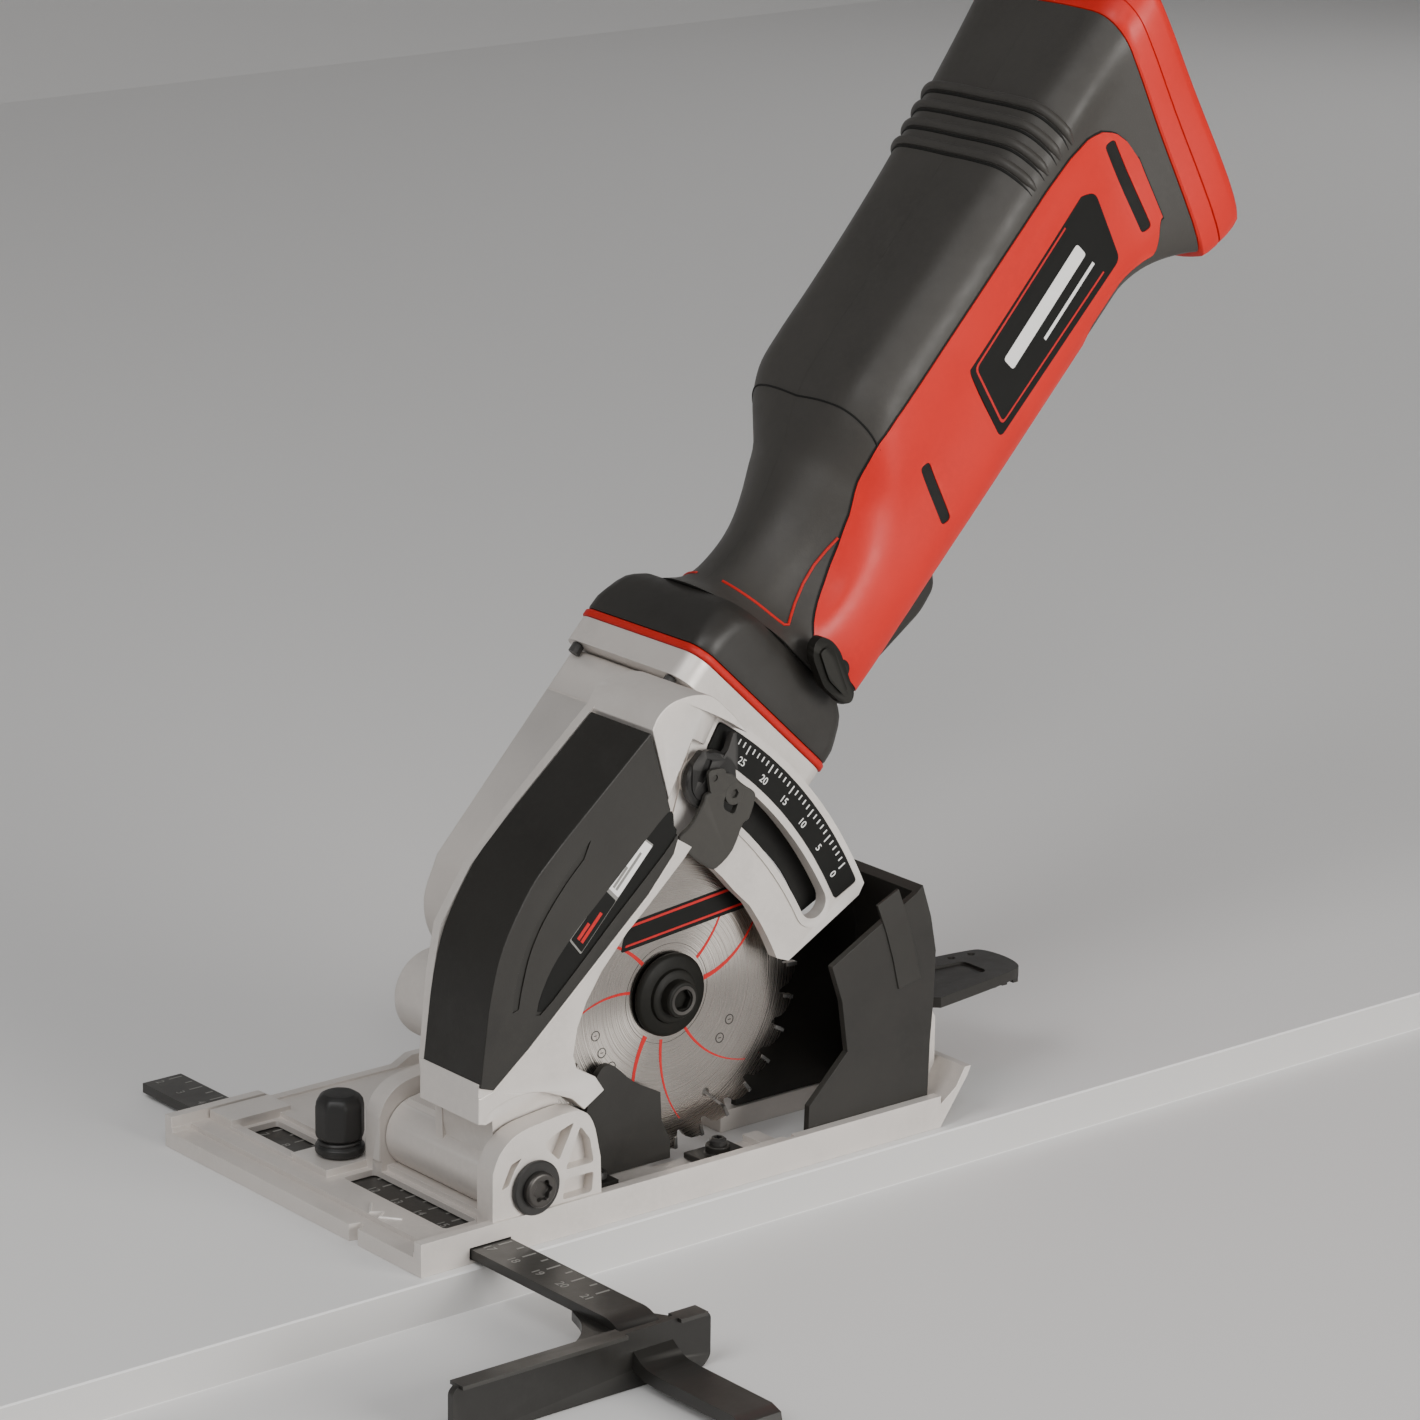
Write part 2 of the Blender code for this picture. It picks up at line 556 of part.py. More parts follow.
# along the shaft: t, blend to the full grip, neck radius, half width
STATIONS = [(100.3, 0.0, 27.0, 25.2), (104.0, 0.0, 22.6, 25.8), (109.0, 0.0, 20.0, 26.6), (118.0, 0.0, 18.7, 27.0),
            (126.0, 0.0, 19.1, 27.0), (134.0, 0.06, 20.0, 27.0), (142.0, 0.18, 20.9, 27.0), (148.0, 0.28, 21.7, 27.0),
            (154.0, 0.5, 23.0, 27.0), (160.0, 0.75, 24.0, 27.0), (168.0, 0.96, 24.0, 27.0)]
FULL_T = 190.0
FLARE = (0.0, 0.35, 0.63, 0.78, 0.9, 1.0)
WALL = 1.9
PANEL_THICK = 0.95
PANEL_GAP = 0.95


def dock_start(m):
    return 279.5 - 0.36 * m


def dock_end(m):
    return 296.4 - 0.335 * m


def thinned(m, y):
    """The inner point of the shell wall behind an outer point."""
    inner_m = m + WALL if m < 0 else m - WALL * min(1.0, m / 21.0)
    if y <= 0.5:
        return inner_m, 0.0
    if abs(m) < 20:
        inner_m = m + (WALL * 0.5 if m < 0 else 0.0)
    return inner_m, y - WALL


def handle_sections():
    """Half outlines along the handle as points (t, m, y); those of the flare lean like the battery seat."""
    made = [[(t, m, y) for m, y in grip_half(k, r, w)] for t, k, r, w in STATIONS]
    for u in FLARE:
        made.append([(FULL_T + (dock_start(m) - GAP - FULL_T) * u, m, y) for m, y in flared_half(u)])
    return made


def shell_rings(sign):
    """C-shaped sections of one half of the handle."""
    rings = []
    for outer in handle_sections():
        lean = (outer[0][0] - outer[-1][0]) / (outer[0][1] - outer[-1][1])
        inner = []
        for t, m, y in outer:
            inner_m, inner_y = thinned(m, y)
            inner.append((t + lean * (inner_m - m), inner_m, inner_y))
        rings.append([shaft(t, m, SHAFT_Y + sign * max(y, 0.15)) for t, m, y in outer + inner[::-1]])
    return rings


# side panel: t at the middle line, upper edge m, and how far it wraps: 0 corner, 1 lower corner, 2 underside
PANEL = [(108.2, 1.0, 2.0), (118.0, -1.0, 2.0), (126.0, -3.6, 2.0), (134.0, -6.6, 2.0), (142.0, -9.8, 2.0),
         (148.0, -13.2, 2.0), (154.0, -16.4, 2.0), (160.0, -18.6, 2.0), (168.0, -20.2, 2.0), (190.0, -20.8, 2.0),
         (205.0, -21.0, 2.0), (214.0, -21.0, 1.0), (228.0, -20.8, 0.3), (246.0, -20.2, 0.12), (257.0, -17.8, 0.12),
         (264.0, -13.4, 0.12), (268.2, -6.0, 0.12)]


def section_at(t):
    """The handle's half outline through t on the middle line, from the neighbouring sections."""
    rows = handle_sections()
    middle = [row[5][0] for row in rows]
    for i in range(len(rows) - 1):
        if middle[i] <= t <= middle[i + 1]:
            k = (t - middle[i]) / (middle[i + 1] - middle[i])
            return [tuple(a + (b - a) * k for a, b in zip(p, q)) for p, q in zip(rows[i], rows[i + 1])]
    return rows[-1]


def between(p, q, k):
    return tuple(a + (b - a) * k for a, b in zip(p, q))


def panel_line(t, m_top, wrap):
    """Six points of the outline that the panel covers."""
    half = section_at(t)
    points = []
    for step, i in ((0.0, 0), (0.8, 4), (1.6, 5)):
        goal = max(m_top + step, half[i][1])
        for p, q in zip(half, half[1:]):
            if p[1] <= goal <= q[1]:
                points.append(between(p, q, (goal - p[1]) / (q[1] - p[1])))
                break
    corner, lower = half[6], half[7]
    if wrap > 1.0:
        return points + [corner, lower, between(lower, between(lower, half[8], 0.4), wrap - 1.0)]
    step = 0.85 if wrap > 0.9 else 0.5
    return points + [corner, between(corner, lower, wrap * step), between(corner, lower, wrap)]


def pushed(line, off):
    """The points moved outwards, square to the outline."""
    made = []
    for i, (t, m, y) in enumerate(line):
        a, b = line[max(i - 1, 0)], line[min(i + 1, len(line) - 1)]
        if 0 < i < len(line) - 1:
            e, f = line[i], line[i]
            n0 = ((e[2] - a[2]) * -1.0, e[1] - a[1])
            n1 = ((b[2] - f[2]) * -1.0, b[1] - f[1])
            l0, l1 = math.hypot(*n0), math.hypot(*n1)
            n = (n0[0] / l0 + n1[0] / l1, n0[1] / l0 + n1[1] / l1)
            size = (n[0] ** 2 + n[1] ** 2) / 2.0
        else:
            n = ((b[2] - a[2]) * -1.0, b[1] - a[1])
            size = math.hypot(*n)
        made.append((t, m + n[0] * off / size, y + n[1] * off / size))
    return made


def build_panels():
    """The near panel, and the far one as its mirror image across the motor shaft."""
    rings = []
    for t, m_top, wrap in PANEL:
        line = panel_line(t, m_top, wrap)
        ring = pushed(line, PANEL_GAP + PANEL_THICK) + pushed(line, PANEL_GAP)[::-1]
        rings.append([shaft(a, m, SHAFT_Y - y) for a, m, y in ring])
    count = len(rings[0])
    faces = []
    for a in range(0, count * (len(rings) - 1), count):
        for k in range(count):
            after = (k + 1) % count
            faces.append((a + k, a + after, a + count + after, a + count + k))
    for a in (0, count * (len(rings) - 1)):
        for k in range(count // 2 - 1):
            faces.append((a + k, a + k + 1, a + count - 2 - k, a + count - 1 - k))
    near = mesh_object("side_panel_near", [p for ring in rings for p in ring], faces, RED)
    for c0, c1 in (((264.5, -9), (257, 15)), ((163, -1), (156, 17))):
        slot = [(c0[0] - 1.6, c0[1]), (c0[0] + 1.6, c0[1]), (c1[0] + 1.6, c1[1]), (c1[0] - 1.6, c1[1])]
        cut(near, prism_tm("c", slot, 40.0, 47.0))
    verts = [v.co / MM + ORIGIN for v in near.data.vertices]
    mirrored = [(v.x, 2 * SHAFT_Y - v.y, v.z) for v in verts]
    mesh_object("side_panel_far", mirrored, [tuple(f.vertices) for f in near.data.polygons], RED)


def build_handle():
    near = loft("grip_shell_near", shell_rings(-1), BLACK)
    far = loft("grip_shell_far", shell_rings(1), BLACK)
    for shell in (near, far):
        cut(shell, prism_tm("c", [(111.5, 24), (152.5, 24), (152.5, 34), (111.5, 34)], 62.6, 85.4))
    cut(near, rod("c", 3.3, 44, 52, lambda u, v, h: shaft(104.0 + u, 10.5 + v, h), 12))
    build_panels()
    label = [(185, 15), (191, -8), (250, -8), (253, -5), (247, 15)]
    for name, l0, l1 in (("near", 43.7, 44.2), ("far", 103.8, 104.3)):
        prism_tm("label_" + name, label, l0, l1, BLACK)

    # red surround of the battery seat: its foot follows the shell and its mouth is cut on the slant
    def mouth(half, face, inset=0.0, share=1.0):
        ring = []
        for m, y in half + [(m, -y) for m, y in reversed(half[1:-1])]:
            m = (m - math.copysign(inset, m) if abs(m) > 10 else m) * share
            y = (y - math.copysign(inset, y) if abs(y) > inset + 1 else y) * share
            ring.append((face(m), m, y))
        return [shaft(t, m, SHAFT_Y + y) for t, m, y in ring]

    outer = [mouth(mixed(SEAT, RIM, 0.15), dock_start), mouth(mixed(SEAT, RIM, 0.6), lambda m: dock_start(m) + 4),
             mouth(RIM, lambda m: dock_end(m) - 3), mouth(RIM, dock_end, 2.0)]
    dock = loft("battery_dock", outer, RED)
    room = [mouth(SEAT, lambda m: dock_start(m) + 5, 3.4), mouth(SEAT, lambda m: dock_end(m) + 3, 3.4)]
    cut(dock, loft("c", room))
    window = [mouth(SEAT, lambda m, far=far: dock_start(m) + far, 0.0, 0.55) for far in (-2, 8)]
    cut(dock, loft("c", window))
    block = tube_tm("terminal_block", [(275.0, rounded(12, 14, 2, 2)), (286.0, rounded(12, 14, 2, 2))], BLACK)
    for y in (-8.5, -2.8, 2.8, 8.5):
        cut(block, tube_tm("c", [(278.0, [(-9, y - 0.8), (9, y - 0.8), (9, y + 0.8), (-9, y + 0.8)]),
                                 (290.0, [(-9, y - 0.8), (9, y - 0.8), (9, y + 0.8), (-9, y + 0.8)])]))
    return near


def build_motor():
    pipe("stator", 14.5, 15.9, 101.5, 142.0, about_shaft, 24, STEEL)
    pipe("motor_end_plate", 6.4, 15.9, 142.3, 145.3, about_shaft, 24, BLACK)
    pipe("front_bearing", 2.8, 7.9, 76.3, 80.3, about_shaft, 20, STEEL)
    pipe("rear_bearing", 2.8, 6.1, 142.4, 145.2, about_shaft, 20, STEEL)
    pipe("spindle_bearing_near", 5.2, 9.0, 40.7, 46.6, about_y(SPINDLE_X, SPINDLE_Z), 20, STEEL)
    pipe("spindle_bearing_far", 4.0, 7.9, 88.6, 93.1, about_y(SPINDLE_X, SPINDLE_Z), 20, STEEL)
    tube_tm("circuit_board", [(190.0, rounded(18, 0.8, 0.3, 2)), (250.0, rounded(18, 0.8, 0.3, 2))], GREEN)
    tube_tm("switch_body", [(152.0, rounded(8, 7, 1, 2, 14.0)), (176.0, rounded(8, 7, 1, 2, 14.0))], BLACK)
    # rotor: shaft, core, fan and pinion turn together
    turned("rotor_shaft", [(2.5, 14.6), (2.5, 148.0)], about_shaft, 16, STEEL)
    pipe("rotor_core", 2.8, 14.0, 104.0, 136.0, about_shaft, 18, COPPER)
    fan = pipe("fan", 2.8, 7.0, 96.0, 99.0, about_shaft, 16, BLACK)
    for k in range(7):
        a = 2 * math.pi * k / 7
        blade = []
        for h in (94.6, 98.6):
            ring = []
            for r, w in ((6.2, -0.7), (15.5, -0.7), (15.5, 0.7), (6.2, 0.7)):
                ring.append(about_shaft(r * math.cos(a) - w * math.sin(a), r * math.sin(a) + w * math.cos(a), h))
            blade.append(ring)
        join(fan, loft("a", blade))
    # pinion teeth are narrow, so they run clear of the crown gear's teeth in every position
    rings = []
    for h in (8.3, 13.5):
        ring = []
        for k in range(PINION_TEETH):
            c = 2 * math.pi * (k + PINION_PHASE) / PINION_TEETH
            for r, b in ((2.45, -0.23), (4.05, -0.11), (4.05, 0.11), (2.45, 0.23)):
                ring.append(about_shaft(r * math.cos(c + b), r * math.sin(c + b), h))
        rings.append(ring)
    loft("pinion", rings, STEEL)


def build_spindle():
    c = about_y(SPINDLE_X, SPINDLE_Z)
    turned("spindle", [(4.7, 19.4), (4.7, 24.3), (4.9, 24.3), (4.9, 50.0), (3.7, 50.0), (3.7, 92.6)], c, 16,
           STEEL)
    rings = []
    for k in range(BLADE_TEETH):
        a = 2 * math.pi * k / BLADE_TEETH
        step = 2 * math.pi / BLADE_TEETH
        for r, b in ((BLADE_R - 3.0, 0.0), (BLADE_R - 1.4, 0.42), (BLADE_R, 0.9), (BLADE_R - 2.4, 0.97)):
            rings.append([c(rr * math.cos(a + b * step), rr * math.sin(a + b * step), y)
                          for rr, y in ((BORE_R, BLADE_Y[0]), (r, BLADE_Y[0]), (r, BLADE_Y[1]),
                                        (BORE_R, BLADE_Y[1]))])
    loft("blade", rings, STEEL, closed=True)
    pipe("blade_flange_inner", 5.1, 11.8, BLADE_Y[1] + GAP, 24.0, c, 24, BLACK)
    hollow("blade_flange_outer", [(2.9, 15.6), (6.4, 15.6), (7.2, 16.8), (11.8, 16.8), (11.8, BLADE_Y[0] - GAP),
                                  (2.9, BLADE_Y[0] - GAP)], c, 24, BLACK)
    bolt = turned("blade_bolt", [(5.0, 12.0), (5.0, 15.3), (2.6, 15.3), (2.6, 19.1)], c, 16, STEEL)
    cut(bolt, rod("c", 2.4, 10, 14.4, c, 6))
    # crown gear: a disc with face teeth that point at the motor shaft's plane
    gear = hollow("crown_gear", [(4.0, 62.0), (7.0, 62.0), (7.0, 65.4), (11.2, 65.4), (11.2, 69.2),
                                    (4.0, 69.2)], c, 24, STEEL)
    base_angle = math.degrees(LEAN)
    for k in range(CROWN_TEETH):
        a = rad(base_angle + 360.0 * (k + 0.5) / CROWN_TEETH)
        tooth = []
        for y, w in ((68.9, 0.42), (70.75, 0.22)):
            ring = []
            for r, s in ((8.0, -1), (11.1, -1), (11.1, 1), (8.0, 1)):
                ring.append(c(r * math.cos(a) - s * w * math.sin(a), r * math.sin(a) + s * w * math.cos(a), y))
            tooth.append(ring)
        join(gear, loft("a", tooth))
    return gear


def build_depth_stop():
    x, z = polar((SLOT_IN + SLOT_OUT) / 2, STOP_ANGLE)
    c = about_y(x, z)
    slider = hollow("depth_stop_slider", [(2.4, 7.6), (5.6, 7.6), (5.6, 10.5), (4.0, 10.5), (4.0, ARC_Y[1]),
                                          (2.4, ARC_Y[1])], c, 16, BLACK)
    tip = [polar(119.0, STOP_ANGLE - 1.5), polar(122.0, STOP_ANGLE - 0.3), polar(122.0, STOP_ANGLE + 0.3),
           polar(119.0, STOP_ANGLE + 1.5), polar(116.4, STOP_ANGLE + 1.8), polar(116.4, STOP_ANGLE - 1.8)]
    join(slider, prism_y("a", tip, 7.7, 10.2))
    turned("depth_stop_bolt", [(2.1, 7.9), (2.1, ARC_Y[1] + 0.4), (5.4, ARC_Y[1] + 0.4), (5.4, 17.6)], c, 12,
           STEEL)
    paddle = [(-8.5, 6.5), (-3.0, 9.5), (5.0, 9.0), (8.0, 5.0), (7.6, -2.0), (3.0, -8.0), (5.5, -16.0), (4.0, -22.5),
              (-5.5, -23.5), (-7.5, -14.0), (-5.5, -7.0), (-9.0, -2.0)]
    lever = prism_y("depth_lever", [(x + u, z + v) for u, v in paddle], 5.6, 7.3, BLACK)
    return lever


def build_controls():
    trigger = prism_tm("trigger", [(113, 26.5), (112.6, 33), (116, 37.5), (139, 42.5), (147, 41.5), (151.4, 36),
                                   (151.6, 27), (148.0, 25.0)], 63.2, 84.8, BLACK)
    at_axis(trigger, *shaft(149.0, 27.5, SHAFT_Y))
    lock = prism_tm("lock_off_lever", [(105, -2.5), (108.8, 1.5), (110, 8), (107.5, 15), (102, 22.5), (98, 22.5),
                                       (95, 17), (95.4, 10), (99, 2)], 41.0, 43.9, BLACK)
    join(lock, rod("a", 3.0, 43.0, 51.0, lambda u, v, h: shaft(104.0 + u, 10.5 + v, h), 12))
    at_axis(lock, *shaft(104.0, 10.5, 44.0))
    place = lambda u, v, h: shaft(2.0 + u, h, 67.4 + v)
    button = turned("spindle_lock_button", [(4.4, -33.5), (5.4, -32.4), (5.4, -30.0), (1.5, -30.0), (1.5, -15.2)],
                    place, 14, BLACK)
    at_axis(button, *shaft(2.0, -30.0, 67.4))


clear_scene()
build_base()
build_pivot()
build_guards()
build_screw("chip_guard_screw", 64.5, 11.0, 8.0)
build_screw("rear_guard_screw", 168.0, 39.2, 8.2)
build_guide()
build_guide_clamp()
build_release_lever()
build_guard_casting()
build_cover()
build_scale()
build_dust_port()
build_gearcase()
build_head()
build_handle()
build_motor()
build_spindle()
build_depth_stop()
build_controls()
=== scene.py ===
"""Looks for the battery plunge saw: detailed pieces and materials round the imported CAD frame.

Lengths are millimetres and MM turns them into metres. X runs along the base plate from its front
edge to the handle end, Y runs across it from the blade side to the far side, and Z is up from the
sole. The handle leans back: t is the distance from the blade spindle up the motor shaft, and m is
the distance across that shaft in the X-Z plane, positive towards the underside of the handle.
"""

import math

import bmesh
import bpy
from mathutils import Matrix, Vector


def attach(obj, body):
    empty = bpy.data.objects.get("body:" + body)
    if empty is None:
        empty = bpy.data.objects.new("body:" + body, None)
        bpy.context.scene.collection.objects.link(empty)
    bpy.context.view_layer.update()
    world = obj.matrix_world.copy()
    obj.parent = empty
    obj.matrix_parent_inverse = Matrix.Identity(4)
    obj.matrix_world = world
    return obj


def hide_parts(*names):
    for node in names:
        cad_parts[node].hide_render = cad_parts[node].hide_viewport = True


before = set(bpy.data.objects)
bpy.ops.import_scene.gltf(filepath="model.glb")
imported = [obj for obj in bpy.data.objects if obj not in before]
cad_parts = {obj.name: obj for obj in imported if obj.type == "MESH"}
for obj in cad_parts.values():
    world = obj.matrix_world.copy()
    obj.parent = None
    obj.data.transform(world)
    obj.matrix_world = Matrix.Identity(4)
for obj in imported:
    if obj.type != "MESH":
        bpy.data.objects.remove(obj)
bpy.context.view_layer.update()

MM = 0.001
ORIGIN = Vector((87, 57.75, 0))
GAP = 0.3
BASE_L = 174
BASE_W = 115.5
PIVOT_X = 36.5
PIVOT_Z = 15.5
SPINDLE_X = 93.7
SPINDLE_Z = 50.3
BLADE_R = 44.5
LEAN = math.radians(47)
SHAFT_Y = 74
ARC_IN = 97.5
ARC_OUT = 130
SLOT_IN = 109
SLOT_OUT = 117.7
STOP_ANGLE = 57
RELEASE_AT = (177.5, 26.2)
CHIP_SCREW_AT = (64.5, 11)
REAR_SCREW_AT = (168, 39.2)
FOOT_AT = (104.5, 10.4)
BLADE_NEAR = 19.25
BLADE_FAR = 20.75
TEETH = 30
BAR_X = (15.5, 28)
BAR_Z = (1.3, 4)
# directions of t and m
D = Vector((math.cos(LEAN), 0, math.sin(LEAN)))
M = Vector((math.sin(LEAN), 0, -math.cos(LEAN)))
# shared material values
# edge colours for surface(): lighter than the base, partly wear and partly painted edge highlights
WORN_AND_GLINT_GREY = (0.8, 0.79, 0.77)
WORN_AND_GLINT_BLACK = (0.1, 0.095, 0.085)
GLOSS_SPREAD = 0.08
COAT_ROUGH = 0.2


def rad(degrees):
    return math.radians(degrees)


def shaft(t, m, y):
    return Vector((SPINDLE_X, 0, SPINDLE_Z)) + D * t + M * m + Vector((0, y, 0))


def polar(r, a, cx=PIVOT_X, cz=PIVOT_Z):
    return cx + r * math.cos(rad(a)), cz + r * math.sin(rad(a))


# ---- materials
def blank(name):
    mat = bpy.data.materials.new(name)
    mat.use_nodes = True
    return mat, mat.node_tree, mat.node_tree.nodes["Principled BSDF"]


def feed(tree, made, inputs):
    """Fill a shader node's inputs, each with a number, a colour or a socket to link."""
    for key, value in inputs.items():
        if isinstance(value, bpy.types.NodeSocket):
            tree.links.new(value, made.inputs[key])
        else:
            made.inputs[key].default_value = value
    return made


def add(tree, kind, inputs=None, **settings):
    made = tree.nodes.new("ShaderNode" + kind)
    for key, value in settings.items():
        setattr(made, key, value)
    return feed(tree, made, inputs or {})


def scaled(rgb, k):
    return tuple((c * k for c in rgb))


def noise(tree, coord, scale, detail=3, rough=0.55):
    return add(tree, "TexNoise", {"Scale": scale, "Detail": detail, "Roughness": rough,
        "Vector": coord}).outputs["Fac"]


def spread(tree, value, low, high, a=0.3, b=0.7):
    return add(tree, "MapRange", {"From Min": a, "From Max": b, "To Min": low, "To Max": high,
        "Value": value}).outputs["Result"]


def mixed(tree, factor, *colours):
    a, b = [c + (1,) if isinstance(c, tuple) else c for c in colours]
    return add(tree, "Mix", {0: factor, 6: a, 7: b}, data_type="RGBA").outputs[2]


def surface(name, rgb, rough, vary, grain, depth, metallic=0, pits=0, edge_wear_and_glint=0, worn_and_glint=WORN_AND_GLINT_GREY, specular=0.5,
        coat=0, sheen=0):
    """Base colour with slow variation, sharp edges lightened partly as wear and partly as a painted highlight,
    uneven gloss and a fine moulded or cast grain.
    """
    mat, tree, shader = blank(name)
    coord = add(tree, "TexCoord").outputs["Object"]
    slow = spread(tree, noise(tree, coord, 42, 4), 0, 1)
    colour = mixed(tree, slow, scaled(rgb, 1 - vary), scaled(rgb, 1 + vary))
    speck = spread(tree, noise(tree, coord, 520, 2), 0, 1, 0.42, 0.72)
    colour = mixed(tree, speck, colour, scaled(rgb, 1 + 0.6 * vary))
    # lighter sharp edges: partly wear, partly a painted highlight along the edges
    if edge_wear_and_glint:
        edge = spread(tree, add(tree, "NewGeometry").outputs["Pointiness"], 0, edge_wear_and_glint, 0.53, 0.62)
        colour = mixed(tree, edge, colour, worn_and_glint)
    gloss = spread(tree, noise(tree, coord, 85, 5, 0.65), rough - GLOSS_SPREAD, rough + GLOSS_SPREAD)
    bump = add(tree, "Bump", {"Strength": 0.55, "Distance": depth * MM, "Height": noise(tree, coord, grain, 3,
        0.6)})
    if pits:
        cells = add(tree, "TexVoronoi", {"Scale": grain * 0.55, "Vector": coord}).outputs["Distance"]
        bump = add(tree, "Bump", {"Strength": 0.5, "Distance": pits * MM, "Height": cells,
            "Normal": bump.outputs["Normal"]})
    feed(tree, shader, {"Base Color": colour, "Roughness": gloss, "Normal": bump.outputs["Normal"],
        "Metallic": metallic, "Specular IOR Level": specular, "Coat Weight": coat, "Coat Roughness": COAT_ROUGH,
        "Sheen Weight": sheen})
    return mat


def ring_brushed(name, rgb, rough, cx, cz):
    """Steel with rings of fine turning marks round an axis along Y."""
    mat, tree, shader = blank(name)
    coord = add(tree, "TexCoord").outputs["Object"]
    centre = (Vector((cx, 0, cz)) - ORIGIN) * MM
    shift = add(tree, "VectorMath", {0: coord, 1: (centre.x, 0, centre.z)}, operation="SUBTRACT")
    flat = add(tree, "VectorMath", {0: shift.outputs["Vector"], 1: (1, 0, 1)}, operation="MULTIPLY")
    length = add(tree, "VectorMath", {0: flat.outputs["Vector"]}, operation="LENGTH").outputs["Value"]
    rings = add(tree, "TexNoise", {"Scale": 2600, "Detail": 4, "W": length}, noise_dimensions="1D").outputs["Fac"]
    colour = mixed(tree, spread(tree, noise(tree, coord, 60), 0, 1), scaled(rgb, 0.86), rgb)
    colour = mixed(tree, spread(tree, rings, 0, 0.35), colour, scaled(rgb, 0.7))
    bump = add(tree, "Bump", {"Strength": 0.5, "Distance": 0.012 * MM, "Height": rings})
    tangent = add(tree, "Tangent", direction_type="RADIAL", axis="Y")
    feed(tree, shader, {"Base Color": colour, "Roughness": spread(tree, rings, rough - 0.06, rough + 0.1),
        "Normal": bump.outputs["Normal"], "Metallic": 1, "Tangent": tangent.outputs["Tangent"],
        "Anisotropic": 0.85})
    return mat


# cast alloy: its lighter sharp edges are partly wear and partly painted edge highlights
ALLOY = surface("cast_alloy", (0.66, 0.615, 0.575), 0.42, 0.05, 1500, 0.03, metallic=0.3, pits=0.012, edge_wear_and_glint=0.35,
    worn_and_glint=(0.86, 0.84, 0.81))
STEEL = surface("bright_steel", (0.56, 0.55, 0.54), 0.26, 0.06, 2400, 0.01, metallic=1)
ZINC = surface("blackened_steel", (0.016, 0.0153, 0.0145), 0.42, 0.2, 1900, 0.02, metallic=0.1, edge_wear_and_glint=0.3,
    worn_and_glint=(0.13, 0.125, 0.12), specular=0.3)
HUB_BLACK = surface("blackened_flange", (0.011, 0.0106, 0.0088), 0.5, 0.2, 1900, 0.02, edge_wear_and_glint=0.2,
    worn_and_glint=(0.09, 0.087, 0.08), specular=0.14)
LEVER_BLACK = surface("enamelled_lever", (0.04, 0.0375, 0.033), 0.5, 0.12, 1800, 0.03, pits=0.012, edge_wear_and_glint=0.1,
    worn_and_glint=(0.11, 0.105, 0.095), specular=0.3)
BLADE_STEEL = ring_brushed("blade_steel", (0.47, 0.435, 0.4), 0.26, SPINDLE_X, SPINDLE_Z)
COVER_BLACK = surface("cover_plastic", (0.017, 0.0155, 0.013), 0.47, 0.14, 2300, 0.035, pits=0.01, edge_wear_and_glint=0.1,
    worn_and_glint=WORN_AND_GLINT_BLACK, specular=0.4)
GUARD_BLACK = surface("guard_plastic", (0.018, 0.0165, 0.014), 0.46, 0.15, 2000, 0.03, edge_wear_and_glint=0.12, worn_and_glint=WORN_AND_GLINT_BLACK,
    specular=0.4)
GRIP_BLACK = surface("grip_soft_plastic", (0.04, 0.0365, 0.032), 0.52, 0.1, 2600, 0.045, pits=0.016, sheen=0.03,
    specular=0.42)
COLLAR_BLACK = surface("collar_soft_plastic", (0.025, 0.0228, 0.02), 0.46, 0.1, 2400, 0.04, edge_wear_and_glint=0.08,
    worn_and_glint=WORN_AND_GLINT_BLACK, specular=0.42)
RED = surface("red_plastic", (0.6, 0.013, 0.0075), 0.42, 0.04, 2000, 0.02, specular=0.32, edge_wear_and_glint=0.15,
    worn_and_glint=(0.75, 0.07, 0.045))
RED_SOFT = surface("red_seal", (0.52, 0.013, 0.009), 0.5, 0.05, 1800, 0.02, specular=0.3)
LABEL = surface("label_film", (0.005, 0.005, 0.0042), 0.46, 0.2, 900, 0.004, specular=0.2)
INK_RED = surface("ink_red", (0.52, 0.012, 0.012), 0.4, 0.05, 1200, 0.004, specular=0.3)
INK_WHITE = surface("ink_white", (0.82, 0.81, 0.79), 0.4, 0.04, 1200, 0.004)
INK_GREY = surface("ink_grey", (0.22, 0.215, 0.2), 0.4, 0.05, 1200, 0.004)
ETCH = surface("etched_mark", (0.08, 0.075, 0.07), 0.4, 0.1, 1500, 0.01, metallic=0.8)
GUIDE_PAINT = surface("guide_paint", (0.018, 0.0168, 0.0148), 0.36, 0.12, 1300, 0.03, metallic=0.05, edge_wear_and_glint=0.4,
    worn_and_glint=(0.13, 0.125, 0.115), coat=0.12, specular=0.4)
KNOB_BLACK = surface("knob_plastic", (0.014, 0.0135, 0.0128), 0.45, 0.12, 1700, 0.02, edge_wear_and_glint=0.2,
    worn_and_glint=(0.12, 0.115, 0.11))
CARBIDE = surface("carbide", (0.33, 0.325, 0.32), 0.3, 0.1, 1600, 0.01, metallic=1)
COPPER = surface("wound_copper", (0.7, 0.32, 0.15), 0.35, 0.2, 900, 0.05, metallic=1)
BOARD = surface("board_laminate", (0.03, 0.16, 0.07), 0.4, 0.15, 700, 0.01)
LAMINATED = surface("laminated_steel", (0.4, 0.4, 0.4), 0.4, 0.12, 1500, 0.03, metallic=1)
# very dark plastic: the own colour of inner parts and joint lines, also used as painted shade behind the slot and
# at the foot of the grip ribs
DARK_PLASTIC_AND_SHADE = surface("dark_plastic_and_painted_shade", (0.009, 0.0088, 0.008), 0.7, 0.1, 1500, 0.02, specular=0.25)


# ---- shapes
def between(p, q, u):
    return tuple((a + (b - a) * u for a, b in zip(p, q)))


def moved(points, x, z):
    return [(x + u, z + v) for u, v in points]


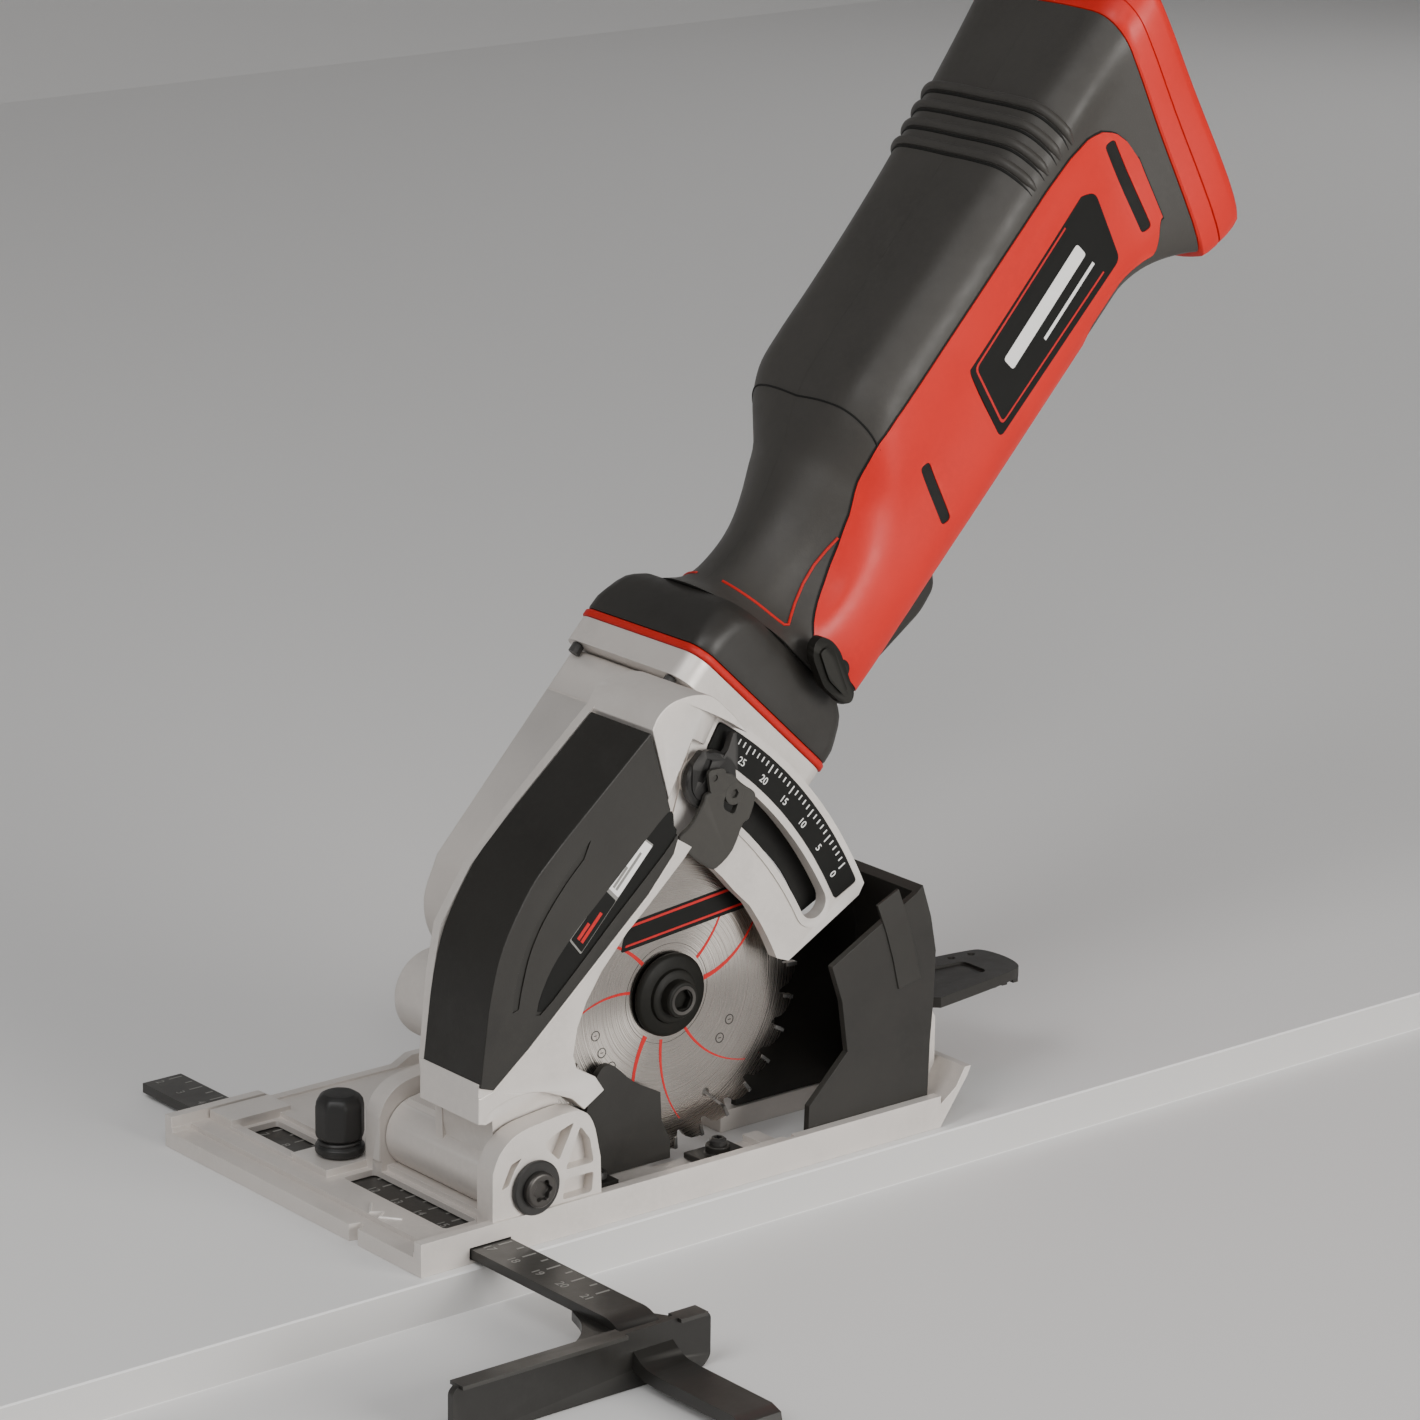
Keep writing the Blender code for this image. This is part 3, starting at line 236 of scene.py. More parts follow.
def bar(p, q, half):
    """Corners of a bar of the given half width from p to q."""
    a = Vector((q[0] - p[0], q[1] - p[1])).normalized() * half
    return [(p[0] + a.y, p[1] - a.x), (q[0] + a.y, q[1] - a.x), (q[0] - a.y, q[1] + a.x),
        (p[0] - a.y, p[1] + a.x)]


def linked(data, mat=None):
    obj = bpy.data.objects.new("shape", data)
    bpy.context.scene.collection.objects.link(obj)
    if mat:
        data.materials.append(mat)
    return obj


def mesh_object(verts, faces, mat=None):
    mesh = bpy.data.meshes.new("shape")
    mesh.from_pydata([tuple((Vector(v) - ORIGIN) * MM) for v in verts], [], faces)
    bm = bmesh.new()
    bm.from_mesh(mesh)
    bmesh.ops.recalc_face_normals(bm, faces=bm.faces)
    bm.to_mesh(mesh)
    bm.free()
    return linked(mesh, mat)


def loft(rings, mat=None, closed=False):
    n = len(rings[0])
    count = len(rings)
    verts = [p for ring in rings for p in ring]
    faces = []
    for i in range(count if closed else count - 1):
        a = i * n
        b = (i + 1) % count * n
        faces += [(a + k, a + (k + 1) % n, b + (k + 1) % n, b + k) for k in range(n)]
    if not closed:
        faces += [tuple(range(n)), tuple(range((count - 1) * n, count * n))]
    return mesh_object(verts, faces, mat)


def prism_y(outline, y0, y1, mat=None):
    return loft([[(x, y, z) for x, z in outline] for y in (y0, y1)], mat)


def prism_z(outline, z0, z1, mat=None):
    return loft([[(x, y, z) for x, y in outline] for z in (z0, z1)], mat)


def prism_x(outline, x0, x1, mat=None):
    return loft([[(x, y, z) for y, z in outline] for x in (x0, x1)], mat)


def prism_tm(outline, y0, y1, mat=None):
    return loft([[shaft(t, m, y) for t, m in outline] for y in (y0, y1)], mat)


def box(x, y, z, mat=None):
    return prism_z([(x[0], y[0]), (x[1], y[0]), (x[1], y[1]), (x[0], y[1])], z[0], z[1], mat)


def around(count):
    """Cosine and sine of count equal steps round a circle."""
    return [(math.cos(2 * math.pi * k / count), math.sin(2 * math.pi * k / count)) for k in range(count)]


def turned(profile, place, segments=48, mat=None):
    return loft([[place(r * c, r * s, h) for c, s in around(segments)] for r, h in profile], mat)


def hollow(profile, place, segments=48, mat=None):
    return loft([[place(r * c, r * s, h) for r, h in profile] for c, s in around(segments)], mat, closed=True)


def about_y(cx, cz):
    return lambda u, v, h: Vector((cx + u, h, cz + v))


def about_lock(u, v, h):
    return shaft(2 + u, h, 67.4 + v)


def about_lever(u, v, h):
    return shaft(104 + u, 10.5 + v, h)


def about_z(cx, cy):
    return lambda u, v, h: Vector((cx + u, cy + v, h))


PIVOT = about_y(PIVOT_X, PIVOT_Z)
SPINDLE = about_y(SPINDLE_X, SPINDLE_Z)
RELEASE = about_y(*RELEASE_AT)
PORT = about_y(57.6, 43.5)
KNOB = about_z(22, 66)
CHIP_SCREW = about_z(*CHIP_SCREW_AT)
REAR_SCREW = about_z(*REAR_SCREW_AT)


def about_shaft(u, v, h):
    return shaft(h, u, SHAFT_Y + v)


def rod(r, h0, h1, place, segments=48, mat=None):
    return turned([(r, h0), (r, h1)], place, segments, mat)


def evaluated(obj):
    """The object's mesh with its modifiers, or the mesh of its text."""
    bpy.context.view_layer.update()
    return bpy.data.meshes.new_from_object(obj.evaluated_get(bpy.context.evaluated_depsgraph_get()))


def applied(obj):
    """Replace the object's mesh with its modified one."""
    result = evaluated(obj)
    obj.modifiers.clear()
    old = obj.data
    obj.data = result
    bpy.data.meshes.remove(old)
    return obj


def boolean(target, tools, operation):
    for tool in tools:
        mod = target.modifiers.new("shape", "BOOLEAN")
        mod.operation = operation
        mod.solver = "EXACT"
        mod.object = tool
        applied(target)
        bpy.data.objects.remove(tool, do_unlink=True)
    return target


def cut(target, *tools):
    return boolean(target, tools, "DIFFERENCE")


def join(target, *tools):
    return boolean(target, tools, "UNION")


def shaded(obj, angle=38):
    obj.data.polygons.foreach_set("use_smooth", [True] * len(obj.data.polygons))
    obj.data.set_sharp_from_angle(angle=rad(angle))
    return obj


def eased(obj, width, segments=2, limit=28, tidy=True):
    """Round every sharp edge by a bevel of the given width."""
    if tidy:
        bm = bmesh.new()
        bm.from_mesh(obj.data)
        bmesh.ops.remove_doubles(bm, verts=bm.verts, dist=0.004 * MM)
        bmesh.ops.dissolve_limit(bm, angle_limit=rad(0.6), verts=bm.verts, edges=bm.edges)
        bm.to_mesh(obj.data)
        bm.free()
    mod = obj.modifiers.new("edge", "BEVEL")
    mod.width = width * MM
    mod.segments = segments
    mod.limit_method = "ANGLE"
    mod.angle_limit = rad(limit)
    mod.use_clamp_overlap = True
    mod.miter_outer = "MITER_ARC"
    mod.harden_normals = False
    normal = obj.modifiers.new("normal", "WEIGHTED_NORMAL")
    normal.keep_sharp = True
    obj.data.polygons.foreach_set("use_smooth", [True] * len(obj.data.polygons))
    obj.data.set_sharp_from_angle(angle=rad(60))
    return applied(obj)


def spline(points, per=4, closed=False, before=None, after=None):
    """Catmull-Rom points through the given ones."""
    pts = [tuple(p) for p in points]
    if closed:
        pts = [pts[-1]] + pts + [pts[0], pts[1]]
    else:
        first = before or tuple((2 * a - b for a, b in zip(pts[0], pts[1])))
        last = after or tuple((2 * a - b for a, b in zip(pts[-1], pts[-2])))
        pts = [first] + pts + [last]
    made = []
    for i in range(1, len(pts) - 2):
        p0, p1, p2, p3 = pts[i - 1:i + 3]
        for s in range(per):
            u = s / per
            made.append(tuple((0.5 * (2 * b + (c - a) * u + (2 * a - 5 * b + 4 * c - d) * u * u
                + (3 * b - a - 3 * c + d) * u ** 3) for a, b, c, d in zip(p0, p1, p2, p3))))
    if not closed:
        made.append(pts[-2])
    return made


def cornered(points, r, n=4):
    """Round the corners of a closed 2-D outline."""
    made = []
    count = len(points)
    for i in range(count):
        p = Vector(points[i])
        a = Vector(points[i - 1]) - p
        b = Vector(points[(i + 1) % count]) - p
        reach = min(r, a.length * 0.45, b.length * 0.45)
        a = p + a.normalized() * reach
        b = p + b.normalized() * reach
        for k in range(n + 1):
            u = k / n
            q = a * (1 - u) ** 2 + p * 2 * u * (1 - u) + b * u * u
            made.append((q.x, q.y))
    return made


def tube(path, r, mat=None, sides=10, taper=0):
    """A round cord along a path of points; taper thins both ends over that share of its length."""
    pts = [Vector(p) for p in path]
    last = len(pts) - 1
    rings = []
    side = None
    for i, p in enumerate(pts):
        ahead = (pts[min(i + 1, last)] - pts[max(i - 1, 0)]).normalized()
        side = side or ahead.orthogonal().normalized()
        side = (side - ahead * side.dot(ahead)).normalized()
        up = ahead.cross(side)
        rr = r * max(0.12, min(1, min(i, last - i) / last / taper)) ** 0.5 if taper else r
        rings.append([p + side * rr * c + up * rr * s for c, s in around(sides)])
    return loft(rings, mat)


def lettering(text, size, origin, along, up, mat, thick=0.06):
    """Plain numerals as a thin solid: along and up are the directions of the writing."""
    curve = bpy.data.curves.new("numeral", "FONT")
    curve.body = text
    curve.size = size
    curve.align_x = "CENTER"
    curve.align_y = "CENTER"
    curve.extrude = thick
    holder = linked(curve)
    mesh = evaluated(holder)
    bpy.data.objects.remove(holder, do_unlink=True)
    a = Vector(along).normalized()
    u = Vector(up).normalized()
    n = a.cross(u)
    for v in mesh.vertices:
        v.co = (Vector(origin) + a * v.co.x + u * v.co.y + n * v.co.z - ORIGIN) * MM
    return linked(mesh, mat)


def merged(parts, mat):
    """Several loose solids as one piece."""
    bm = bmesh.new()
    for part in parts:
        bm.from_mesh(part.data)
        bpy.data.objects.remove(part, do_unlink=True)
    mesh = bpy.data.meshes.new("shape")
    bm.to_mesh(mesh)
    bm.free()
    return linked(mesh, mat)


def put(obj, body, slot, extra=None, look=None):
    """Name a piece and let it ride: it stands for the CAD node that slot names, unless it is an extra one.

    A piece whose name isn't its node's name with _look after it has it in look.
    """
    obj.name = obj.data.name = extra or look or slot + "_look"
    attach(obj, body)
    if not extra:
        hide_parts(slot)


# ---- base
def ear_outline(r):
    """Ear of the given height above the pivot: the shape was drawn for a height of 17.5."""
    k = r / 17.5
    shape = [(-13.3, 6.5), (-10.9, 11.5), (-5.5, 15.5), (3.5, 17.1), (13.9, 17.5), (18.7, 13.5), (21.3, 3.3)]
    curve = spline([(PIVOT_X + x * k, PIVOT_Z + z * k) for x, z in shape], 4)
    return [(curve[0][0], 5.5)] + curve + [(PIVOT_X + 21.8 * k, 5.5)]


def make_base():
    base = box((0, BASE_L), (0, BASE_W), (0, 6), ALLOY)
    join(base, box((0, BASE_L), (0, 3), (3, 9)))
    far_rim = [(0, 3), (0, 9), (30, 9), (34, 6.6), (74, 6.6), (79, 9), (BASE_L, 9), (BASE_L, 3)]
    join(base, prism_y(far_rim, BASE_W - 3, BASE_W))
    tail = [(170, 0.5), (BASE_L, 0), (183.4, 13), (184.6, 15.6), (182.4, 15.6), (179.4, 10.6), (173, 6), (170, 6)]
    join(base, prism_y(tail, 0, 44))
    # pad under the clamp knob, ribs beside the guide channel and the bridge at its far end
    join(base, box((12, 31), (58, 74), (5, 8)), box((12, 31), (101.5, 112), (5, 8.6)),
        box((27.6, 31), (8, 59), (5, 7.6)), box((27.6, 31), (73, 102), (5, 7.4)), box((11.6, 14.4), (73, 102),
        (5, 7)), prism_y(ear_outline(17.5), 1, 7.7), prism_y(ear_outline(15.2), 52.5, 58.5))
    for y0 in (11.5, 33.5):
        join(base, prism_y([(176, 7), (181.5, 12), (181.5, 27), (179.5, 30.2), (175.5, 30.2), (173.6, 27),
            (173.6, 5)], y0, y0 + 3))
    # lower lip along the front edge, guide channel, windows
    cut(base, box((-1, 6), (3.5, 112), (4.6, 9.5)), box((BAR_X[0] - GAP, BAR_X[1] + GAP), (-2, BASE_W + 2),
        (1, BAR_Z[1] + GAP)), prism_z(cornered([(BAR_X[0], 11), (25.6, 11), (25.6, 55.5), (BAR_X[0], 55.5)], 1.2,
        3), 3, 9), prism_z(cornered([(BAR_X[0], 76), (25.6, 76), (25.6, 100), (BAR_X[0], 100)], 1.2, 3), 3, 9),
        rod(3.3, 2, 12, KNOB, 32), box((60, 124), (16.5, 47), (-1, 9)), box((123, 168), (5.4, 33), (-1, 9)),
        box((80, 166), (41, 100.5), (1, 9)))
    # recesses inside the near rim for the feet of the two guards
    cut(base, prism_z([(84, 3), (104, 3), (107, 5.2), (118, 5.2), (118, 17), (84, 17)], 4.2, 9.5),
        box((120.5, 123.5), (1.5, 6), (6, 9.5)), prism_z([(-1, 27), (3, 28.2), (3, 30.4), (-1, 31.5)], -1, 9),
        rod(3.3, -1, 60, PIVOT, 32))
    # pockets in the near ear round a boss and a slanting rib
    cut(base, prism_y(cornered([(45.6, 9.8), (55, 9.8), (55.6, 15.2), (46.4, 15.2)], 0.8, 2), 0, 4.5),
        prism_y(cornered([(46.5, 17.8), (55.6, 17.8), (54.3, 24.5), (51.2, 28.6)], 0.9, 2), 0, 4.5),
        prism_y(cornered([(44.4, 20.8), (49.2, 30.2), (43.4, 28.4), (39.6, 26.6), (40.6, 24.8)], 0.9, 2), 0, 4.5),
        prism_y(cornered([(26, 17), (28.2, 17.6), (30.2, 21.5), (32.4, 24.3), (29, 23.2)], 0.5, 2), 0, 3),
        rod(1.5, 1.5, 9, CHIP_SCREW, 20), rod(1.5, 1.5, 9, REAR_SCREW, 20), rod(1.3, 11, 37, RELEASE, 20))
    put(eased(base, 0.55, 2), "base", "base_plate", look="base_look")
    # a small ridge that marks the cut line behind the notch
    ridge = tube([(10.5, 22.5, 6.05), (6.8, 27.2, 6.05), (9.4, 29.2, 6.05), (6.8, 31.2, 6.05), (10.5, 36, 6.05)],
        0.45, ALLOY, 8)
    put(ridge, "base", "base_plate", "cut_line_mark")


def star(r0, r1, x, y):
    """Outline of a driver recess with six lobes."""
    points = [(6 * 2 * math.pi * k / 48, 2 * math.pi * k / 48) for k in range(48)]
    radii = [(r0 + (r1 - r0) * (0.5 + 0.5 * math.cos(wave)), a) for wave, a in points]
    return moved([(r * math.cos(a), r * math.sin(a)) for r, a in radii], x, y)


def make_pivot():
    c = PIVOT
    bolt = turned([(3.9, -2.5), (4.5, -2.3), (4.75, -1.9), (4.75, -0.5), (3, -0.4), (3, 63.2), (2.8, 63.4)], c,
        56, ETCH)
    cut(bolt, prism_y(star(2.35, 3, PIVOT_X, PIVOT_Z), -4, -0.9))
    put(eased(bolt, 0.15, 1), "base", "pivot_bolt")
    washer = hollow([(3.3, -0.35), (6.9, -0.35), (7.3, 0), (7.3, 0.7), (3.3, 0.7)], c, 56, ZINC)
    put(shaded(washer), "base", "pivot_washer")
    rings = []
    turns = 6
    for k in range(36 * turns + 1):
        a = 2 * math.pi * k / 36
        y = 17 + 26 * k / (36 * turns)
        rings.append([c((5.2 + 0.7 * math.cos(b)) * math.cos(a), (5.2 + 0.7 * math.cos(b)) * math.sin(a),
            y + 0.7 * math.sin(b)) for b in [2 * math.pi * j / 10 for j in range(10)]])
    put(shaded(loft(rings, STEEL)), "base", "plunge_spring")


def make_guards():
    near = [(129.6, 6.3), (129.9, 15.1), (142.9, 27.7), (140.7, 42.3), (137, 52.7), (156.7, 62.9), (166.1, 67.4),
        (168.4, 69.4), (171.6, 60), (173.6, 50), (173.2, 36), (172.3, 24), (171.8, 6.3)]
    rear = prism_y(near, 3.2, 35.5, GUARD_BLACK)
    room = [(120, 0), (120, 90), (140, 90), (162, 90), (166.2, 68), (169.4, 60), (171.3, 50), (171, 36),
        (170, 24), (169.5, 0)]
    cut(rear, prism_y(room, 5.2, 33.5), prism_y([(120, 34), (132, 34), (158, 56), (164.5, 63), (160, 90),
        (120, 90)], 33, 36))
    join(rear, box((164.6, 171.6), (34, 42.5), (6.3, 8.2)))
    # stiffening step down the outer face, which follows the arc of the saw's own end
    band = [polar(134.5, a) for a in (12, 16, 20, 24)] + [polar(126.5, a) for a in (24, 20, 16, 12)]
    join(rear, prism_y(band, 2.7, 3.6))
    cut(rear, rod(1.8, 5, 9, REAR_SCREW, 20))
    put(eased(rear, 0.5, 2), "base", "rear_guard")
    edge = [(62, 6.3), (62, 20)] + spline([(62, 20), (66, 33), (71, 37), (79, 30.5), (88, 25.5)],
        4)[1:] + [(88.5, 17.6), (91.5, 11.5), (91.5, 6.3)]
    flap = prism_y(edge, 14.3, 16.2, GUARD_BLACK)
    join(flap, box((61, 68.5), (7, 15.2), (6.3, 8)), prism_y([(62.6, 6.3), (62.6, 14), (64.4, 14), (64.4, 6.3)],
        10.5, 15))
    cut(flap, rod(1.8, 5, 9, CHIP_SCREW, 20))
    put(eased(flap, 0.35, 2), "base", "chip_guard")
    for name, x, y, z in (("chip_guard_screw", *CHIP_SCREW_AT, 8), ("rear_guard_screw", *REAR_SCREW_AT, 8.2)):
        screw = turned([(1.2, z - 5.5), (1.2, z + GAP), (2.6, z + GAP), (2.6, z + 1.4), (2.3, z + 2.1),
            (1.6, z + 2.4)], about_z(x, y), 36, ZINC)
        cut(screw, prism_z(star(0.95, 1.3, x, y), z + 1.2, z + 4))
        put(shaded(screw), "base", name)
    # a second foot of the chip guard, with its screw, inside the near rim
    foot = box((97, 112), (6.2, 15.6), (4.5, 6.2), GUARD_BLACK)
    join(foot, rod(3.4, 4.6, 8.4, about_z(*FOOT_AT), 32))
    put(eased(foot, 0.3, 2), "base", "chip_guard", "chip_guard_foot")
    screw = turned([(2.3, 8.4), (2.3, 9.7), (1.6, 10.3)], about_z(*FOOT_AT), 32, ZINC)
    cut(screw, prism_z(star(0.95, 1.3, *FOOT_AT), 9.2, 12))
    put(shaded(screw), "base", "chip_guard_screw", "chip_guard_foot_screw")


def make_guide():
    x0, x1 = BAR_X
    top = [(150, BAR_Z[1])] + [(-50, BAR_Z[1])] + spline([(-50, BAR_Z[1]), (-57, 3.7), (-64, 0), (-70.5, -3.9),
        (-76, -4.6)], 5)[1:]
    low = spline([(-76, -8), (-68.5, -7.2), (-61.5, -3.2), (-55, 0.9), (-49, BAR_Z[0])], 5)
    side = top + [(-104, -4.6), (-107.5, -5.8), (-108, -8)] + low + [(150, BAR_Z[0])]
    guide = prism_x(side, x0, x1, GUIDE_PAINT)
    plate = cornered([(-39, -8.6), (-37, -11), (38, -11), (40, -8.6), (40, 2.2), (38, 4), (-37, 4), (-39, 2.2)],
        1, 3)
    join(guide, prism_y(plate, -66, -64))
    web = [(-30, -64.5)] + spline([(-30, -64.5), (-18, -63.6), (-4, -61.4), (6, -56.5), (12, -50), (15.2, -42)],
        5)[1:]
    join(guide, prism_z(web + [(17, -42), (17, -64.5)], -1, 1.5), prism_z([(26, -64.5), (26, -46), (28.4, -46),
        (29.6, -54), (33, -60), (38.2, -64.5)], -1, 1.5))
    # raised edge along the top of the fence, on both sides of the bar
    join(guide, prism_x([(-62.2, 3), (-67.4, 3), (-67.4, 4), (-62.2, 4)], -37, 13),
        prism_x([(-62.2, 3), (-67.4, 3), (-67.4, 4), (-62.2, 4)], 29.5, 38))
    put(eased(guide, 0.4, 2), "guide", "parallel_guide", look="guide_look")
    marks = []
    for k in range(39):
        y = 148 - 5 * k
        long = k % 2 == 0
        if -50 < y < 149:
            marks.append(box((x1 - (5.2 if long else 3.2), x1 - 1), (y - 0.28, y + 0.28),
                (BAR_Z[1] - 0.1, BAR_Z[1] + 0.07)))
            if long:
                marks.append(lettering(str(2 + k // 2), 3.6, (x0 + 4.2, y - 0.2, BAR_Z[1] + 0.02), (0, -1, 0),
                    (1, 0, 0), INK_GREY, 0.05))
    put(merged(marks, INK_GREY), "guide", "parallel_guide", "guide_scale_marks")


def make_guide_clamp():
    c = KNOB
    rings = []
    for r, h, flat in ((6, 8.4, 0), (6.6, 9, 0), (6.6, 10.6, 0), (5.4, 11.6, 0), (5.3, 12.4, 0), (6.3, 13.2, 0.5),
            (6.5, 14.2, 1), (6.5, 21.4, 1), (6.2, 23, 0.9), (5.4, 24.2, 0.6), (4.2, 24.9, 0.2), (2.4, 25, 0)):
        ring = []
        for k in range(64):
            a = 2 * math.pi * k / 64
            wave = (a + math.pi / 8) % (math.pi / 4) - math.pi / 8
            rr = r * (1 - flat) + flat * min(r * 1.01, r * 0.955 / math.cos(wave))
            ring.append(c(rr * math.cos(a), rr * math.sin(a), h))
        rings.append(ring)
    knob = loft(rings, KNOB_BLACK)
    put(eased(knob, 0.25, 2, 24), "guide_knob", "guide_knob")
    path = []
    for k in range(24 * 3 + 1):
        a = 2 * math.pi * k / 24
        path.append(c(5.5 * math.cos(a), 5.5 * math.sin(a), 8.9 + 3.3 * k / 72))
    put(shaded(tube(path, 0.55, KNOB_BLACK, 8, 0.06)), "guide_knob", "guide_knob", "guide_knob_thread")


def make_release_lever():
    px, pz = RELEASE_AT
    outline = [(180.5, 14.9), (183, 12.5)] + spline([(183, 12.5), (200, 15), (214, 17.6), (218.4, 20.4),
        (220, 28), (218.6, 35.6), (214, 37.6), (200, 39.4), (184, 41.5)], 4)[1:] + [(181.5, 33.1), (180.5, 33.1)]
    lever = prism_z([(x, y - 1.5) for x, y in outline], 29.2, 32.2, GUARD_BLACK)
    join(lever, rod(2.9, 14.8, 33.2, RELEASE, 40), prism_y([(px - 0.5, pz + 2.2), (px + 2.4, pz), (184, 29.4),
        (184, 31), (179.5, 32.2), (177.5, 30.5)], 15, 31.6))
    for x in (203, 207, 211, 215):
        join(lever, box((x, x + 1.8), (17, 34), (27.9, 29.6)))
    # a shallow field along the middle and three dimples beside it
    cut(lever, prism_z(cornered([(186, 17.5), (208, 20), (208, 30), (186, 32)], 2, 4), 31.5, 34))
    for x, y in ((200, 34.6), (207, 33.9), (213.6, 33)):
        cut(lever, turned([(0.4, 31.2), (1.5, 32.6)], about_z(x, y), 20))
    cut(lever, rod(1.35, 10, 40, RELEASE, 20))
    put(eased(lever, 0.45, 2), "release_lever", "release_lever")


# ---- arm
COVER = [(76.2, 127.9), (85.6, 98), (84.2, 94.2), (76.1, 85), (60, 70.8), (37.6, 51.4), (26.5, 42.6),
    (22.4, 44)] + spline([(22.4, 44), (23.9, 56), (25.6, 67.1), (29.4, 80), (37.8, 93.8), (45, 101.2),
    (53.5, 108.7), (64, 117.6), (76.2, 127.9)], 4)[1:-1]
CROWN_TOP = [(77.2, 128.4), (79.2, 131.6), (82.8, 134.2), (87.8, 135.2), (93, 135), (97.8, 133.2), (105.2, 126.4)]


def arc_points(r, a0, a1, n):
    return [polar(r, a0 + (a1 - a0) * k / (n - 1)) for k in range(n)]


def sector(r0, r1, a0, a1, n=28):
    return arc_points(r1, a0, a1, n) + arc_points(r0, a1, a0, n)


def capsule(r0, r1, a0, a1, n=24):
    """A sector whose ends are half round."""
    mid = (r0 + r1) / 2
    half = (r1 - r0) / 2
    made = arc_points(r1, a0, a1, n)
    for end, a in ((a1, 0), (a0, 180)):
        cx, cz = polar(mid, end)
        for k in range(1, 10):
            b = end + a + 180 * k / 10
            made.append((cx + half * math.cos(rad(b)), cz + half * math.sin(rad(b))))
        if end == a1:
            made += arc_points(r0, a1, a0, n)
    return made


SCALE_SEAT = cornered([polar(r, a) for r, a in [(120, 25.9), (128.4, 25.9)] + [(128.4, 27 + 3.1 * k)
    for k in range(10)] + [(128.4, 58.4), (120, 58.4)] + [(120, 54.9 - 3.1 * k) for k in range(10)]], 1.3, 3)


def make_guard_casting():
    crown = spline(CROWN_TOP, 4)
    near = crown + [(104, 121), (98, 106), (92.5, 96.5), (87.5, 91.4), (75.8, 80.9), (69.5, 75.6), (61.5, 67),
        (56.5, 59.6), (53.7, 53.2), (52.4, 46), (53.6, 42.4), (59.6, 38.8), (62.5, 34.5), (56, 30.6), (52, 34.4)]
    near += [polar(23.6, a) for a in range(70, 123, 4)]
    near += [(24.4, 33.6), (22.2, 34.2), (22.3, 41), (26.7, 42.2), (37.9, 51), (60.3, 70.4), (76.4, 84.6),
        (84.6, 93.9), (86, 98)]
    casting = prism_y(near, 5.6, 13.5, ALLOY)
    block = crown + [(112, 118.5), (112.5, 107), (106, 97.5), (94, 97), (86.4, 98.6)]
    join(casting, prism_y(block, 6.2, 31))
    eased(casting, 1.3, 3, 34)
    # room for the depth stop in front of the arc; its upper ends run out in a hollow curve
    for r0, r1, a1, soft in ((95.8, 121, 62.2, 1.6), (112, 128.8, 58.9, 7)):
        steps = [(y, a1 + soft * share) for y, share in ((0, 1.35), (5.6, 1), (6.6, 0.62), (8.2, 0.3),
            (10.2, 0.08), (12, 0))]
        cut(casting, loft([[(x, y, z) for x, z in sector(r0, r1, 18, a)] for y, a in steps]))
    ends = arc_points(ARC_OUT + 0.4, 25, 62, 30) + [polar(95.9, a) for a in (58, 53, 48, 44,
        40)] + arc_points(ARC_IN - 0.6, 36, 24.5, 16)
    join(casting, prism_y([polar(100, 22.7), polar(127.5, 24.1)] + ends, 11.5, 15))
    back = [(23.6, 44), (25.9, 67.1), (28.4, 79.8), (37.8, 93.8), (53.5, 108.7), (76.5, 128.2)]
    back += crown[1:] + [(112, 118.5), (112.5, 107), (108, 92), (105, 76), (107.5, 62)]
    back += spline([(108, 50.3), (105.8, 43), (100.7, 38.1), (93.7, 36.2), (86, 36.4)], 4)
    back += [(72, 31.5), (58, 28.6), (50, 26), (44.5, 20), (40, 8), (30, 10.5), (29, 18), (28.6, 30), (24.6, 34)]
    join(casting, prism_y(back, 30, 33), rod(14, 32, 47.7, SPINDLE, 56), prism_tm([(44, -27), (66, -27),
        (64, -42), (44, -46)], 31, 47.7))
    # the foot that carries the cover's lower end stands out over the pivot barrel
    foot = [(22.3, 45), (22.2, 34.2), (24.4, 33.6), (50, 41), (50, 46), (36, 49.5), (27, 43.5)]
    join(casting, prism_y(foot, 5.8, 30.6))
    beam = [(31, 17.5), (29, 27), (28.6, 36), (36, 46), (50, 45.5), (51.5, 38), (46, 23), (44, 16), (36.5, 14)]
    join(casting, prism_y(beam, 8.6, 31.2), prism_y([(29.4, 17.5), (33, 25.6), (42, 27), (45, 17)], 30, 50.5),
        rod(9.6, 8, 52.2, PIVOT, 64))
    cut(casting, rod(BLADE_R + 1.6, 17, 24.2, SPINDLE, 72))
    # raised rim round the slot, the slot, and the seat of the scale
    join(casting, prism_y(capsule(SLOT_IN - 1.9, SLOT_OUT + 1.2, 27.6, 57.8), 11, 12))
    cut(casting, prism_y(capsule(SLOT_IN, SLOT_OUT, 28, 57.2), 8, 18), prism_y(SCALE_SEAT, 10, 12.1),
        prism_y(sector(104.6, 122, 22, 67), 15, 18.4), rod(6.9, 15, 45.5, PIVOT, 40), rod(3.3, 0, 60, PIVOT, 32),
        rod(6.3, 20, 60, SPINDLE, 40), rod(9.3, 40.4, 60, SPINDLE, 40), rod(9, 26, 36, PORT, 32))
    eased(casting, 0.45, 2, 32)
    # dark sheet behind the slot, ahead of the blade: painted shade for the enclosed space seen through the slot
    web = prism_y(sector(106.5, 119.5, 25.5, 62.5), 17.9, 18.5, DARK_PLASTIC_AND_SHADE)
    cut(web, rod(BLADE_R + 1.4, 17, 20, SPINDLE, 72))
    put(web, "arm", "guard_casting", "slot_shade_sheet")
    put(casting, "arm", "guard_casting")


